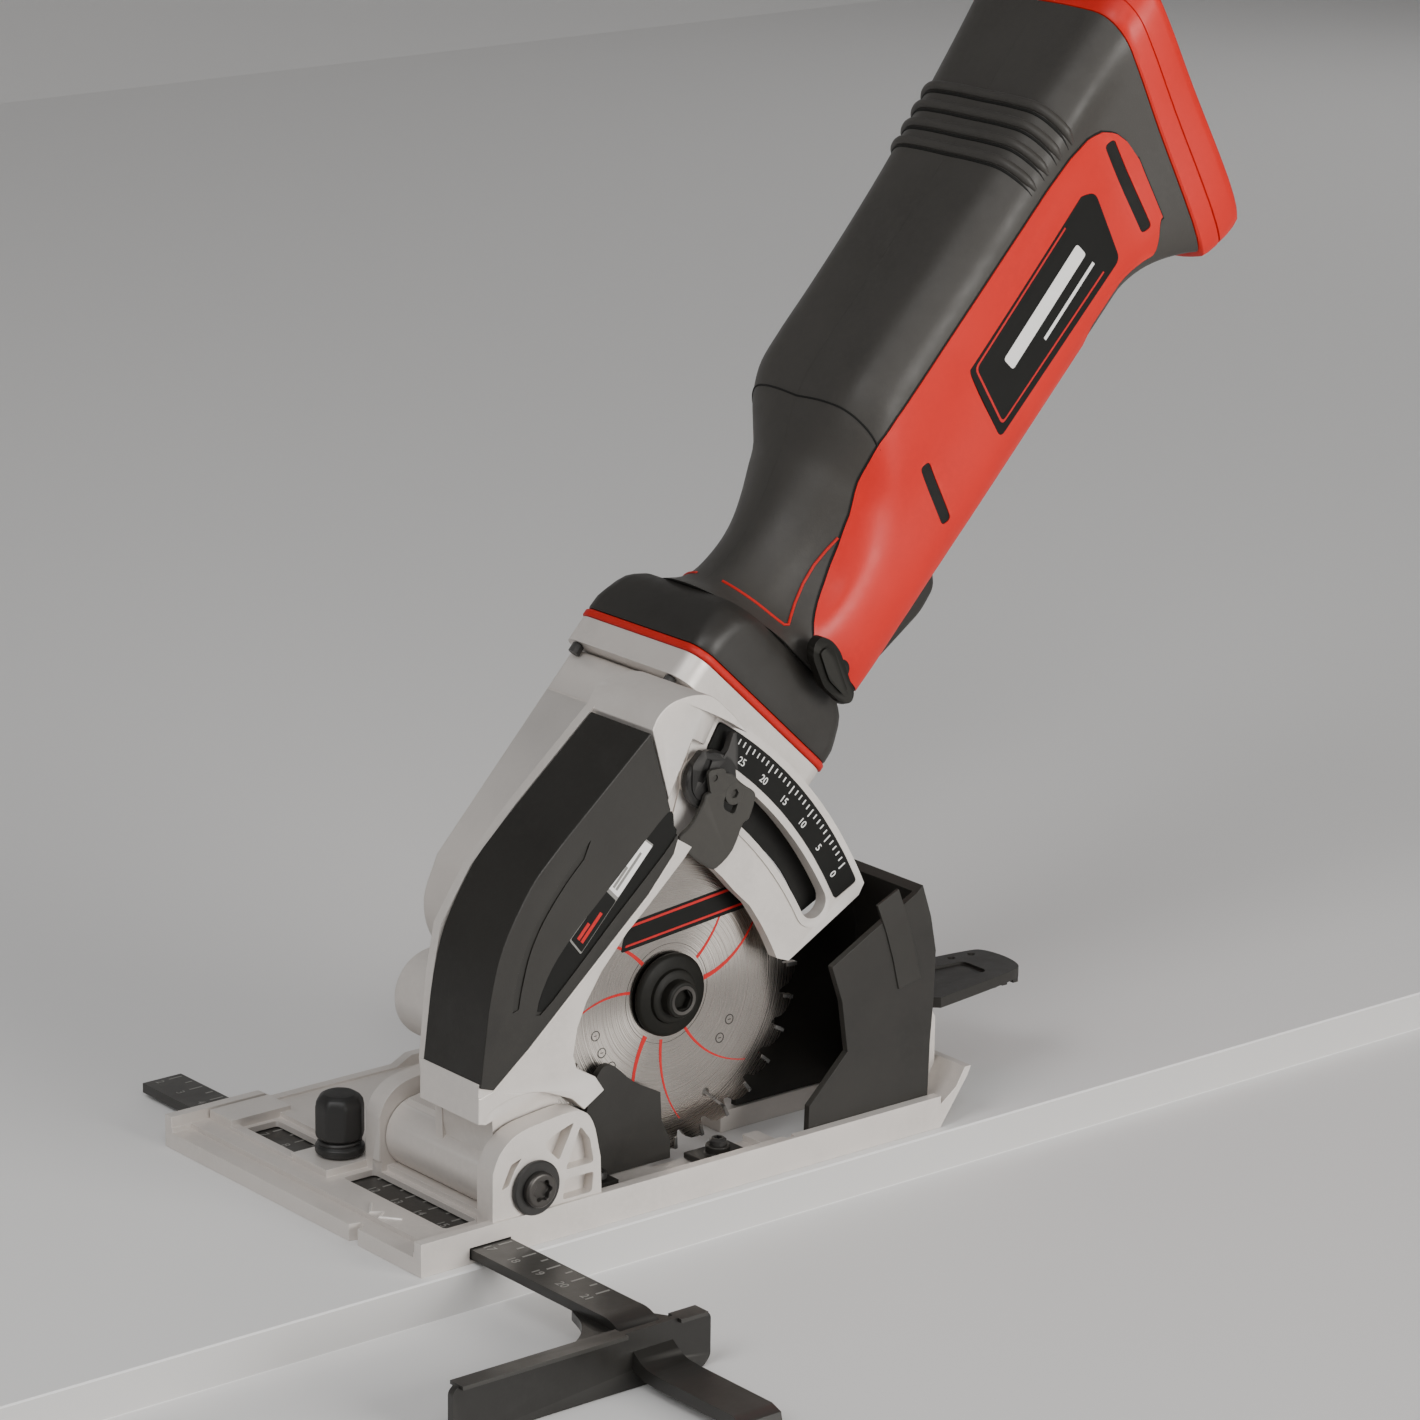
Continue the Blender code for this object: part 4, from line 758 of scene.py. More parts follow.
def make_cover():
    cover = prism_y(COVER, 5, 29.7, COVER_BLACK)
    room = [(75, 123.6), (92, 103), (92, 90), (78, 79), (28, 38), (26.3, 46.5), (28.5, 66.5), (30.9, 79),
        (39.7, 92.1), (55.2, 106.6)]
    cut(cover, prism_y(room, 8, 32))
    eased(cover, 0.9, 3, 34)
    field = spline([(82.4, 106), (84.9, 102.3), (84.1, 97.9), (64.7, 80.4), (41.2, 59.6), (43.4, 69),
        (51.3, 78.6), (66, 91.6)], 4, closed=True)
    cut(cover, prism_y(field, 4, 5.5))
    # a shallow step that follows the outer curve
    step = spline([(57.2, 103.2), (50.2, 96.6), (42.4, 87.8), (36.6, 78.6), (33.2, 68.4), (32.4, 62)], 5)
    inner = spline([(55, 98.4), (49, 92.6), (42.4, 84.6), (38, 76.6), (35.4, 67.8), (34.4, 62.6)], 5)
    cut(cover, prism_y(step + inner[::-1], 4, 5.4))
    put(eased(cover, 0.25, 1, 40), "arm", "blade_cover")
    face = [(x + (66 - x) * 0.03, z + (84 - z) * 0.03) for x, z in field]
    put(prism_y(face, 5.4, 5.65, LABEL), "arm", "blade_cover", "cover_field")
    low_l, low_r, high_r, high_l = (50.6, 77.6), (54.2, 73.2), (77.6, 97.9), (74.2, 100.6)
    mid_l, mid_r = between(low_l, high_l, 0.5), between(low_r, high_r, 0.5)

    def strip(name, a, b, c, d, inset, mat, y0, y1):
        mid = ((a[0] + b[0] + c[0] + d[0]) / 4, (a[1] + b[1] + c[1] + d[1]) / 4)
        near = [(x + (mid[0] - x) * inset, z + (mid[1] - z) * inset) for x, z in (a, b, c, d)]
        return put(prism_y(cornered(near, 0.4, 3), y0, y1, mat), "arm", "blade_cover", name)

    strip("cover_label_edge", low_l, low_r, high_r, high_l, 0, INK_GREY, 5.22, 5.6)
    strip("cover_label_dark", low_l, low_r, mid_r, mid_l, 0.06, LABEL, 5.16, 5.5)
    strip("cover_label_light", mid_l, mid_r, high_r, high_l, 0.06, INK_WHITE, 5.16, 5.5)
    along = (Vector(high_r) - Vector(low_r)).normalized()
    across = Vector((-along.y, along.x))
    start = Vector(low_r) + across * 1.5
    for name, mat, low, high, rows in (("cover_label_red", INK_RED, 0.9, 0.1, ((2.4, 11.6, 0.9),
            (2.4, 7.4, 2.4))), ("cover_label_print", INK_GREY, 0.8, 0, ((18.6, 30.2, 1), (18.6, 25, 2.2)))):
        bars = []
        for a, b, lift in rows:
            corners = ((a, lift - low), (b, lift - low), (b, lift + high), (a, lift + high))
            bars.append(prism_y([tuple(start + along * u + across * v) for u, v in corners], 5.1, 5.3))
        put(merged(bars, mat), "arm", "blade_cover", name)


def make_scale():
    mid = polar(124.2, 42)
    strip = prism_y([(x + (mid[0] - x) * 0.012, z + (mid[1] - z) * 0.012) for x, z in SCALE_SEAT], 11.2, 12,
        LABEL)
    put(strip, "arm", "depth_scale")
    marks = []
    for k in range(0, 29):
        a = 29.3 + 0.92 * k
        long = k % 5 == 0
        x0, z0 = polar(127.2, a)
        x1, z1 = polar(124.7 if long else 125.7, a)
        w = Vector((-math.sin(rad(a)), math.cos(rad(a)))) * 0.17
        marks.append(prism_y([(x0 - w.x, z0 - w.y), (x1 - w.x, z1 - w.y), (x1 + w.x, z1 + w.y),
            (x0 + w.x, z0 + w.y)], 11.05, 11.3))
        if long:
            x, z = polar(122.4, a)
            up = (math.cos(rad(a)), 0, math.sin(rad(a)))
            along = (math.sin(rad(a)), 0, -math.cos(rad(a)))
            marks.append(lettering(str(k), 2.9, (x, 11.15, z), along, up, INK_WHITE, 0.08))
    put(merged(marks, INK_WHITE), "arm", "depth_scale", "depth_scale_marks")


def make_dust_port():
    port = hollow([(10.2, 33.3), (12.3, 33.3), (12.3, 72.6), (12, 74), (11.3, 75), (10.6, 75), (10.2, 74.2)],
        PORT, 72, ALLOY)
    put(shaded(port, 50), "arm", "dust_port")


GEARCASE = [(72.7, -27), (4, -27)] + spline([(4, -27), (-8, -22), (-14.5, -12), (-15.2, 3), (-7, 13.1)],
    5)[1:] + [(14, 14), (40, 23.5), (60, 27), (72.7, 27)]
GEARROOM = [(76, -24), (5, -24), (-6, -19.6), (-12, -11), (-12.8, 2), (-5.8, 11.8), (14.5, 12.4), (41, 20.6),
    (61, 24), (76, 24)]


def make_gearcase():
    case = prism_tm(GEARCASE, 48, 99, ALLOY)
    eased(case, 2.6, 4, 34)
    cut(case, prism_tm(GEARROOM, 50.6, 96.4))
    hub = SPINDLE
    join(case, rod(11, 88.5, 96.9, hub, 40))
    cut(case, rod(5, 44, 90, hub, 32), rod(8.2, 86, 93.4, hub, 40), rod(6.3, 44, 52, hub, 32),
        rod(1.8, -30, -20, about_lock, 24))
    # parting line between the gearcase and its front half
    groove = [(58.6, -28.5), (59.2, -28.5), (59.2, -26.5), (58.6, -26.5)]
    cut(case, prism_tm(groove, 45, 101))
    put(shaded(case, 40), "arm", "gearcase")


def rounded(hm, hy, r, n=3, m0=0):
    points = []
    for sm, sy, a0 in ((1, 1, 0), (-1, 1, 90), (-1, -1, 180), (1, -1, 270)):
        for k in range(n):
            a = rad(a0 + 90 * k / (n - 1))
            points.append((m0 + sm * (hm - r) + r * math.cos(a), sy * (hy - r) + r * math.sin(a)))
    return points


def tube_tm(sections, mat=None):
    return loft([[shaft(t, m, SHAFT_Y + y) for m, y in ring] for t, ring in sections], mat)


def make_head():
    flange = tube_tm([(73, rounded(31, 26.5, 6, 9)), (80.6, rounded(31, 26.5, 6, 9))], ALLOY)
    cut(flange, rod(8.2, 76, 90, about_shaft, 40), rod(3.4, 70, 90, about_shaft, 32))
    # slots in the lower edge of the flange, where the clamping lugs sit
    for y0, y1 in ((-30, -25), (25, 30)):
        for m0, m1 in ((-20, -9), (5, 21)):
            cut(flange, tube_tm([(72, [(m0, y0), (m1, y0), (m1, y1), (m0, y1)]), (74.6,
                [(m0, y0), (m1, y0), (m1, y1), (m0, y1)])]))
    for sy in (-1, 1):
        cut(flange, rod(1.2, 70, 78.5, lambda u, v, h, s=sy: shaft(h, -28.9 + u, SHAFT_Y + s * 20 + v), 20))
    put(eased(flange, 0.6, 2, 34), "arm", "gear_flange")
    gasket = tube_tm([(80.8, rounded(31, 26.5, 6, 12)), (81.2, rounded(31.4, 26.9, 6.2, 12)),
        (82.6, rounded(31.4, 26.9, 6.2, 12)), (83, rounded(31, 26.5, 6, 12))], RED_SOFT)
    cut(gasket, rod(20, 78, 90, about_shaft, 40))
    put(shaded(gasket, 50), "arm", "gasket")
    steps = [(83.3, 30.9, 26.4, 6), (84, 31.1, 26.6, 6), (87.6, 31, 26.5, 6), (90.5, 30.4, 26.2, 6.4),
        (94.2, 29.4, 25.8, 7), (96.6, 28.4, 25.5, 7.6), (98.2, 27.2, 25, 8.2), (100, 25.4, 24, 9)]
    collar = tube_tm([(t, rounded(hm, hy, r, 12)) for t, hm, hy, r in steps], COLLAR_BLACK)
    cut(collar, rod(18.6, 80, 104, about_shaft, 40))
    put(shaded(collar, 30), "arm", "collar")


# ---- handle
NECK = [(-1, 0), (-0.93, 0.38), (-0.72, 0.7), (-0.4, 0.93)]
GRIP = [(-32, 0), (-32, 12), (-30.6, 20.7), (-24.2, 27.2), (-14.5, 28), (0, 27.2), (20.3, 27), (26.6, 20.3),
    (28.2, 0)]
SEAT = [(-36, 0), (-36, 14), (-34.8, 25.2), (-28.8, 30.8), (-19, 31.6), (0, 31.2), (33, 31), (39, 24.6),
    (40.4, 0)]
RIM = [(-36.8, 0), (-36.8, 15), (-35.6, 26), (-30.2, 31.8), (-20, 33.2), (0, 33), (36.4, 33), (44.4, 26.2),
    (46, 0)]
STATIONS = [(100.3, 0, 27, 25.2), (104, 0, 22.6, 25.8), (109, 0, 20, 26.6), (118, 0, 18.7, 27),
    (126, 0, 19.1, 27), (134, 0.06, 20, 27), (142, 0.18, 20.9, 27), (148, 0.28, 21.7, 27), (154, 0.5, 23, 27),
    (160, 0.75, 24, 27), (168, 0.96, 24, 27), (178, 1, 24, 27), (190, 1, 24, 27)]
FULL_T = 190
WALL = 1.9
SUB = 5


def dock_start(m):
    return 279.5 - 0.36 * m


def dock_end(m):
    return 296.4 - 0.335 * m


def smooth(half):
    """A half outline with SUB points to each of its sides, as one smooth curve that meets its mirror image."""
    line = spline(half, SUB, before=(half[1][0], -half[1][1]), after=(half[-2][0], -half[-2][1]))
    return [(m, max(0, y)) for m, y in line]


def share(u):
    return max(0, min(1, u))


def ramped(x, a, b):
    u = share((x - a) / (b - a))
    return u * u * (3 - 2 * u)


def row_at(table, t):
    """The row of a table at t, its first column, taken between two rows."""
    for a, b in zip(table, table[1:]):
        if t <= b[0]:
            break
    return between(a, b, share((t - a[0]) / (b[0] - a[0])))


FINE = spline(STATIONS, 8)
GRIP_LINE = smooth(GRIP)
SEAT_LINE = smooth(SEAT)
RIM_LINE = smooth(RIM)


def neck_line(t):
    k, r, w = row_at(FINE, t)[1:]
    neck = [(x * r, y * r) for x, y in NECK] + [(-0.1 * r, min(w, r + 3.5)), (5, w)] + [(m, min(y, w)) for m,
        y in GRIP[6:]]
    return smooth([between(n, g, k) for n, g in zip(neck, GRIP)])


def flare_line(u):
    """Half outline between the full grip, u = 0, and the battery seat, u = 1."""
    top = u * u
    side = max(0, (u - 0.78) / 0.22) ** 1.3
    low = max(0, (u - 0.63) / 0.37) ** 1.6
    made = []
    for (i, (p, q)) in enumerate(zip(GRIP_LINE, SEAT_LINE)):
        v = i / SUB
        across = top + (low - top) * share((v - 4) / 2)
        wide = top + (side - top) * share(v - 3) if v <= 5 else side + (low - side) * share(v - 6)
        made.append((p[0] + (q[0] - p[0]) * across, p[1] + (q[1] - p[1]) * wide))
    return made


def section(s):
    """Smooth half outline of the handle at s, and where each of its points lies along the shaft.

    Past FULL_T the sections lean more and more, until the last one is on the slant of the battery seat.
    """
    if s <= FULL_T:
        return neck_line(s), lambda m: s
    u = (s - FULL_T) / (dock_start(0) - GAP - FULL_T)
    return flare_line(u), lambda m: FULL_T + (dock_start(m) - GAP - FULL_T) * u


def pushed(line, off):
    """The half outline moved out by off, square to itself."""
    made = []
    for (i, (m, y)) in enumerate(line):
        a = line[i - 1] if i else (line[1][0], -line[1][1])
        b = line[i + 1] if i < len(line) - 1 else (line[-2][0], -line[-2][1])
        n = Vector((-(b[1] - a[1]), b[0] - a[0])).normalized()
        made.append((m + n.x * off, y + n.y * off))
    return made


def skin(s, off=0):
    """Points (t, m, y) of the handle's outer skin, from the top line to the underside."""
    line, along = section(s)
    return [(along(m), m, y) for m, y in pushed(line, off)]


def half_shell(sign):
    stops = [100.3 + (FULL_T - 100.3) * (k / 48) ** 1.15 for k in range(49)]
    stops += [FULL_T + (dock_start(0) - GAP - FULL_T) * k / 34 for k in range(1, 35)]
    rings = []
    for s in stops:
        line, along = section(s)
        inner = [(m, max(0, y)) for m, y in pushed(line, -WALL)]
        ring = [shaft(along(m), m, SHAFT_Y + sign * max(y, 0.02)) for m, y in line]
        rings.append(ring + [shaft(along(m), m, SHAFT_Y + sign * max(y, 0.02)) for m, y in inner[::-1]])
    return loft(rings, GRIP_BLACK)


def side_arc(s, off, m_top, last, n=30):
    """Points (t, m, y) along the skin from m_top on the side round to the outline's vertex number last."""
    line, along = section(s)
    outer = pushed(line, off)
    stop = last * SUB
    pts = []
    for (i, (a, b)) in enumerate(zip(outer, outer[1:])):
        if not pts and line[i + 1][0] >= m_top:
            pts.append(between(a, b, (m_top - line[i][0]) / max(1e-06, line[i + 1][0] - line[i][0])))
        if pts:
            if i + 1 >= stop:
                pts.append(between(a, b, stop - i))
                break
            pts.append(b)
    lengths = [0]
    for a, b in zip(pts, pts[1:]):
        lengths.append(lengths[-1] + math.hypot(b[0] - a[0], b[1] - a[1]))
    made = []
    j = 0
    for k in range(n):
        goal = lengths[-1] * k / (n - 1)
        while j < len(pts) - 2 and lengths[j + 1] < goal:
            j += 1
        m, y = between(pts[j], pts[j + 1], (goal - lengths[j]) / max(1e-09, lengths[j + 1] - lengths[j]))
        made.append((along(m), m, y))
    return made


TOP_EDGE = [(104.5, 2), (109, -0.5), (114, -1.8), (122, -3.2), (131, -5.6), (140, -9.2), (149, -14), (158, -18.4),
    (166, -19.6), (180, -19.6), (205, -19.6), (225, -19.8), (240, -20), (250, -19.4), (258, -17.6), (263, -15),
    (266.6, -11.2), (269, -6), (270.4, 1)]


def panel_ring(s, sign, grow=0, out=0.45, depth=-0.7):
    """Section of a side panel: it wraps under the handle near the neck and stays on the side near the seat."""
    last = 7.45 - 1.3 * ramped(s, 212, 232) - 0.5 * ramped(s, 262, 270.4) + grow * 0.05
    m_top = row_at(TOP_EDGE, s)[1] - grow
    outer = side_arc(s, out, m_top, last)
    inner = side_arc(s, depth, m_top, last)
    return [shaft(t, m, SHAFT_Y + sign * y) for t, m, y in outer + inner[::-1]]


def on_skin(path, sign, off=0):
    """World points for (s, vertex number) pairs on the skin of one side."""
    made = []
    for s, v in path:
        line = skin(s, off)
        i = min(int(v * SUB), len(line) - 2)
        f = v * SUB - i
        t, m, y = between(line[i], line[i + 1], f)
        made.append(shaft(t, m, SHAFT_Y + sign * y))
    return made


def at_m(s, m_goal):
    """Vertex number at which the outline passes m_goal."""
    line, _ = section(s)
    for (i, (a, b)) in enumerate(zip(line, line[1:])):
        if b[0] >= m_goal:
            return (i + (m_goal - a[0]) / max(1e-06, b[0] - a[0])) / SUB
    return 8


def make_handle():
    for side, sign in (("near", -1), ("far", 1)):
        shell = half_shell(sign)
        cut(shell, prism_tm([(111.5, 24), (152.5, 24), (152.5, 34), (111.5, 34)], 62.6, 85.4))
        if side == "near":
            cut(shell, rod(3.3, 44, 52, about_lever, 24))
        put(shaded(shell, 34), "arm", "grip_shell_" + side)
        # dark joint line, then the red panel over it
        stops = [105 + 145 * k / 54 for k in range(54)] + [250 + 20.4 * math.sin(math.pi / 2 * k / 16)
            for k in range(17)]
        line = loft([panel_ring(s, sign, 0.55, 0.14, -0.8) for s in [104.6] + stops[1:-1] + [270.9]], DARK_PLASTIC_AND_SHADE)
        put(shaded(line, 40), "arm", "grip_shell_" + side, "panel_joint_" + side)
        panel = loft([panel_ring(s, sign) for s in stops], RED)
        deep = (48.6, 41) if side == "near" else (99.4, 107)
        for c0, c1 in (((267, -11), (258.4, 18.5)), ((163.4, -2), (156.4, 16))):
            cut(panel, prism_tm(cornered(bar(c0, c1, 1.8), 1.5, 5), *deep))
        put(eased(panel, 0.4, 2, 40, tidy=False), "arm", "side_panel_" + side)
        face = SHAFT_Y + sign * 27.65
        label = cornered([(184.6, 15.6), (191.4, -8.2), (249.4, -9.2), (254.4, -4.6), (246.8, 16.4)], 2.4, 5)
        plate = prism_tm(label, face - sign * 0.5, face + sign * 0.42, LABEL)
        put(eased(plate, 0.12, 1), "arm", "label_" + side)
        top = (face + sign * 0.3, face + sign * 0.46)
        inset = cornered([(187.6, 13.4), (192.9, -6.2), (249.4, -7.2), (252.2, -4.4), (245, 14.2)], 1.8, 5)
        wall = prism_tm(inset, *top)
        small = cornered([(188.4, 12.9), (193.4, -5.6), (249.1, -6.6), (251.4, -4.2), (244.6, 13.6)], 1.6, 5)
        cut(wall, prism_tm(small, face - 1, face + 1), prism_tm([(240.5, -8.6), (240.5, 15), (260, 15),
            (260, -8.6)], face - 1, face + 1))
        put(merged([wall], INK_RED), "arm", "label_" + side, "label_line_" + side)
        bars = [prism_tm(cornered([(201, 5.6), (201, 0.8), (240, 0), (240, 4.8)], 1, 3), *top),
            prism_tm([(214, 9.8), (214, 8.7), (240, 8.3), (240, 9.4)], *top)]
        put(merged(bars, INK_WHITE), "arm", "label_" + side, "label_bar_" + side)
    # four ribs round the top of the grip, with a thin dark cord of painted shade at the foot of each
    for k in range(4):
        s = 236.6 + 5.3 * k
        ends = at_m(s, -23.6 + 0.5 * k)
        for name, back, off, r, mat, sides, taper in (("grip_rib_%d", 0, -0.1, 1.45, GRIP_BLACK, 14, 0.07),
                ("grip_groove_%d", 1.75, -0.05, 0.42, DARK_PLASTIC_AND_SHADE, 8, 0.12)):
            half = [(s - back, ends * (1 - j / 26)) for j in range(27)]
            path = on_skin(half, -1, off) + on_skin(half[::-1], 1, off)[1:]
            put(shaded(tube(path, r, mat, sides, taper)), "arm", "grip_shell_near", name % k)
    # joint between the neck and the grip, and the thin red edge round the neck's foot
    for side, sign in (("near", -1), ("far", 1)):
        way = spline([(160.6, 0), (161.2, 0.9), (161, 1.9), (159.6, 2.7), (157.2, 3.3)], 6)
        way += [(s, at_m(s, m)) for s, m in ((153.5, -12.4), (149, -10.6), (144.5, -8.8), (140, -7.4),
            (137, -6.6), (134, -6.2))]
        path = spline([tuple(p) for p in on_skin(way, sign, 0)], 2)
        put(shaded(tube(path, 0.3, DARK_PLASTIC_AND_SHADE, 8)), "arm", "grip_shell_" + side, "neck_joint_" + side)
        way = [(106.4 - 1.6 * k / 16, at_m(106, -20.5 + 13.4 * (k / 16) ** 1.3)) for k in range(17)]
        way += [(s, at_m(s, m)) for s, m in ((105.6, -6.3), (108, -6.1), (112, -6.3), (118, -6.7), (124, -7),
            (129, -7.1), (133.5, -7.2))]
        path = [tuple(p) for p in on_skin(way, sign, 0.08)]
        put(shaded(tube(path, 0.42, RED_SOFT, 8)), "arm", "side_panel_" + side, "neck_edge_" + side)


def seat_ring(part, face, inset=0, share=1):
    """A ring on the slant given by face: part = 0 follows the shell's end and 1 the widest of the red rim."""
    half = [between(p, q, part) for p, q in zip(SEAT_LINE, RIM_LINE)]
    half = [(m * share, max(0, y) * share) for m, y in pushed(half, -inset)]
    full = half + [(m, -y) for m, y in reversed(half[1:-1])]
    return [shaft(face(m), m, SHAFT_Y + y) for m, y in full]


def make_dock():
    def at(u, extra=0):
        return lambda m: dock_start(m) + (dock_end(m) - dock_start(m)) * u + extra

    rim = ((0.15, 0, 0), (0.42, 0.03, 0), (0.6, 0.16, 0), (0.76, 0.33, 0), (0.78, 0.375, 0), (0.5, 0.385, 0),
        (0.5, 0.405, 0), (0.8, 0.415, 0), (0.94, 0.6, 0), (1, 0.78, 0), (0.97, 0.88, 0), (0.8, 0.95, 0.3),
        (0.8, 0.99, 1), (0.8, 1, 1.9), (0, 1, 3.3), (0, 0, 3.3))
    outer = [seat_ring(part, at(u), inset) for part, u, inset in rim]
    put(shaded(loft(outer, RED, closed=True), 34), "arm", "battery_dock")
    for name, a, b, inset, part in (("battery_dock_floor", at(0, 0.6), at(0, 5), 2.4, 0.55),
            ("battery_seat_lining", at(0, 5.1), at(1, -0.9), 3.35, 0.862)):
        rings = [seat_ring(0, a, inset), seat_ring(0, b, inset), seat_ring(0, b, 0, part),
            seat_ring(0, a, 0, part)]
        put(shaded(loft(rings, GUARD_BLACK, closed=True), 34), "arm", "battery_dock", name)
    # guide ribs for the pack down both sides of the seat
    rails = []
    for sign in (-1, 1):
        for m0 in (-20, 16):
            rails.append(prism_tm([(dock_start(m0) + 5.5, m0), (dock_end(m0) - 3, m0),
                (dock_end(m0 + 4) - 3, m0 + 4), (dock_start(m0 + 4) + 5.5, m0 + 4)], SHAFT_Y + sign * 22.6,
                SHAFT_Y + sign * 26))
    put(merged(rails, GUARD_BLACK), "arm", "battery_dock", "battery_seat_rails")
    block = tube_tm([(275, rounded(12, 14, 2, 5, 2)), (286, rounded(12, 14, 2, 5, 2))], GUARD_BLACK)
    contacts = []
    for y in (-8.5, -2.8, 2.8, 8.5):
        sides = [(-9, y - 0.8), (9, y - 0.8), (9, y + 0.8), (-9, y + 0.8)]
        cut(block, tube_tm([(278, sides), (290, sides)]))
        thin = [(-7, y - 0.35), (7, y - 0.35), (7, y + 0.35), (-7, y + 0.35)]
        contacts.append(tube_tm([(278.1, thin), (284.6, thin)]))
    put(eased(block, 0.4, 2), "arm", "terminal_block")
    put(merged(contacts, COPPER), "arm", "terminal_block", "terminal_contacts")


def make_controls():
    profile = cornered([(113, 26.5), (112.6, 33), (116, 37.5), (139, 42.3), (147, 41.5), (151.4, 36), (151.6, 27),
        (148, 25)], 2.4, 4)
    trigger = prism_tm(profile, 63.2, 84.8, GUARD_BLACK)
    put(eased(trigger, 1.8, 3, 40), "trigger", "trigger")
    outline = cornered([(103.4, -4.4), (106.4, -3.8), (107.6, 0), (107.2, 4.6), (101.4, 17.4), (99, 18.4),
        (96.8, 16), (96.6, 6.9), (100.2, -2)], 1.8, 4)
    lock = prism_tm(outline, 41, 43.9, HUB_BLACK)
    ridge = cornered([(102.6, -1.6), (105.2, -0.6), (104.6, 4.4), (100.4, 14), (98.6, 13.4), (98.8, 6.6)], 1.2, 3)
    join(lock, prism_tm(ridge, 40.2, 41.5), rod(3, 43, 51, about_lever, 32))
    put(eased(lock, 0.7, 3, 34), "lock_off_lever", "lock_off_lever")
    button = turned([(3, -33.9), (4.4, -33.6), (5.1, -32.9), (5.4, -32.2), (5.4, -30), (1.5, -30), (1.5, -15.2)],
        about_lock, 48, RED)
    put(shaded(button, 50), "spindle_lock_button", "spindle_lock_button")


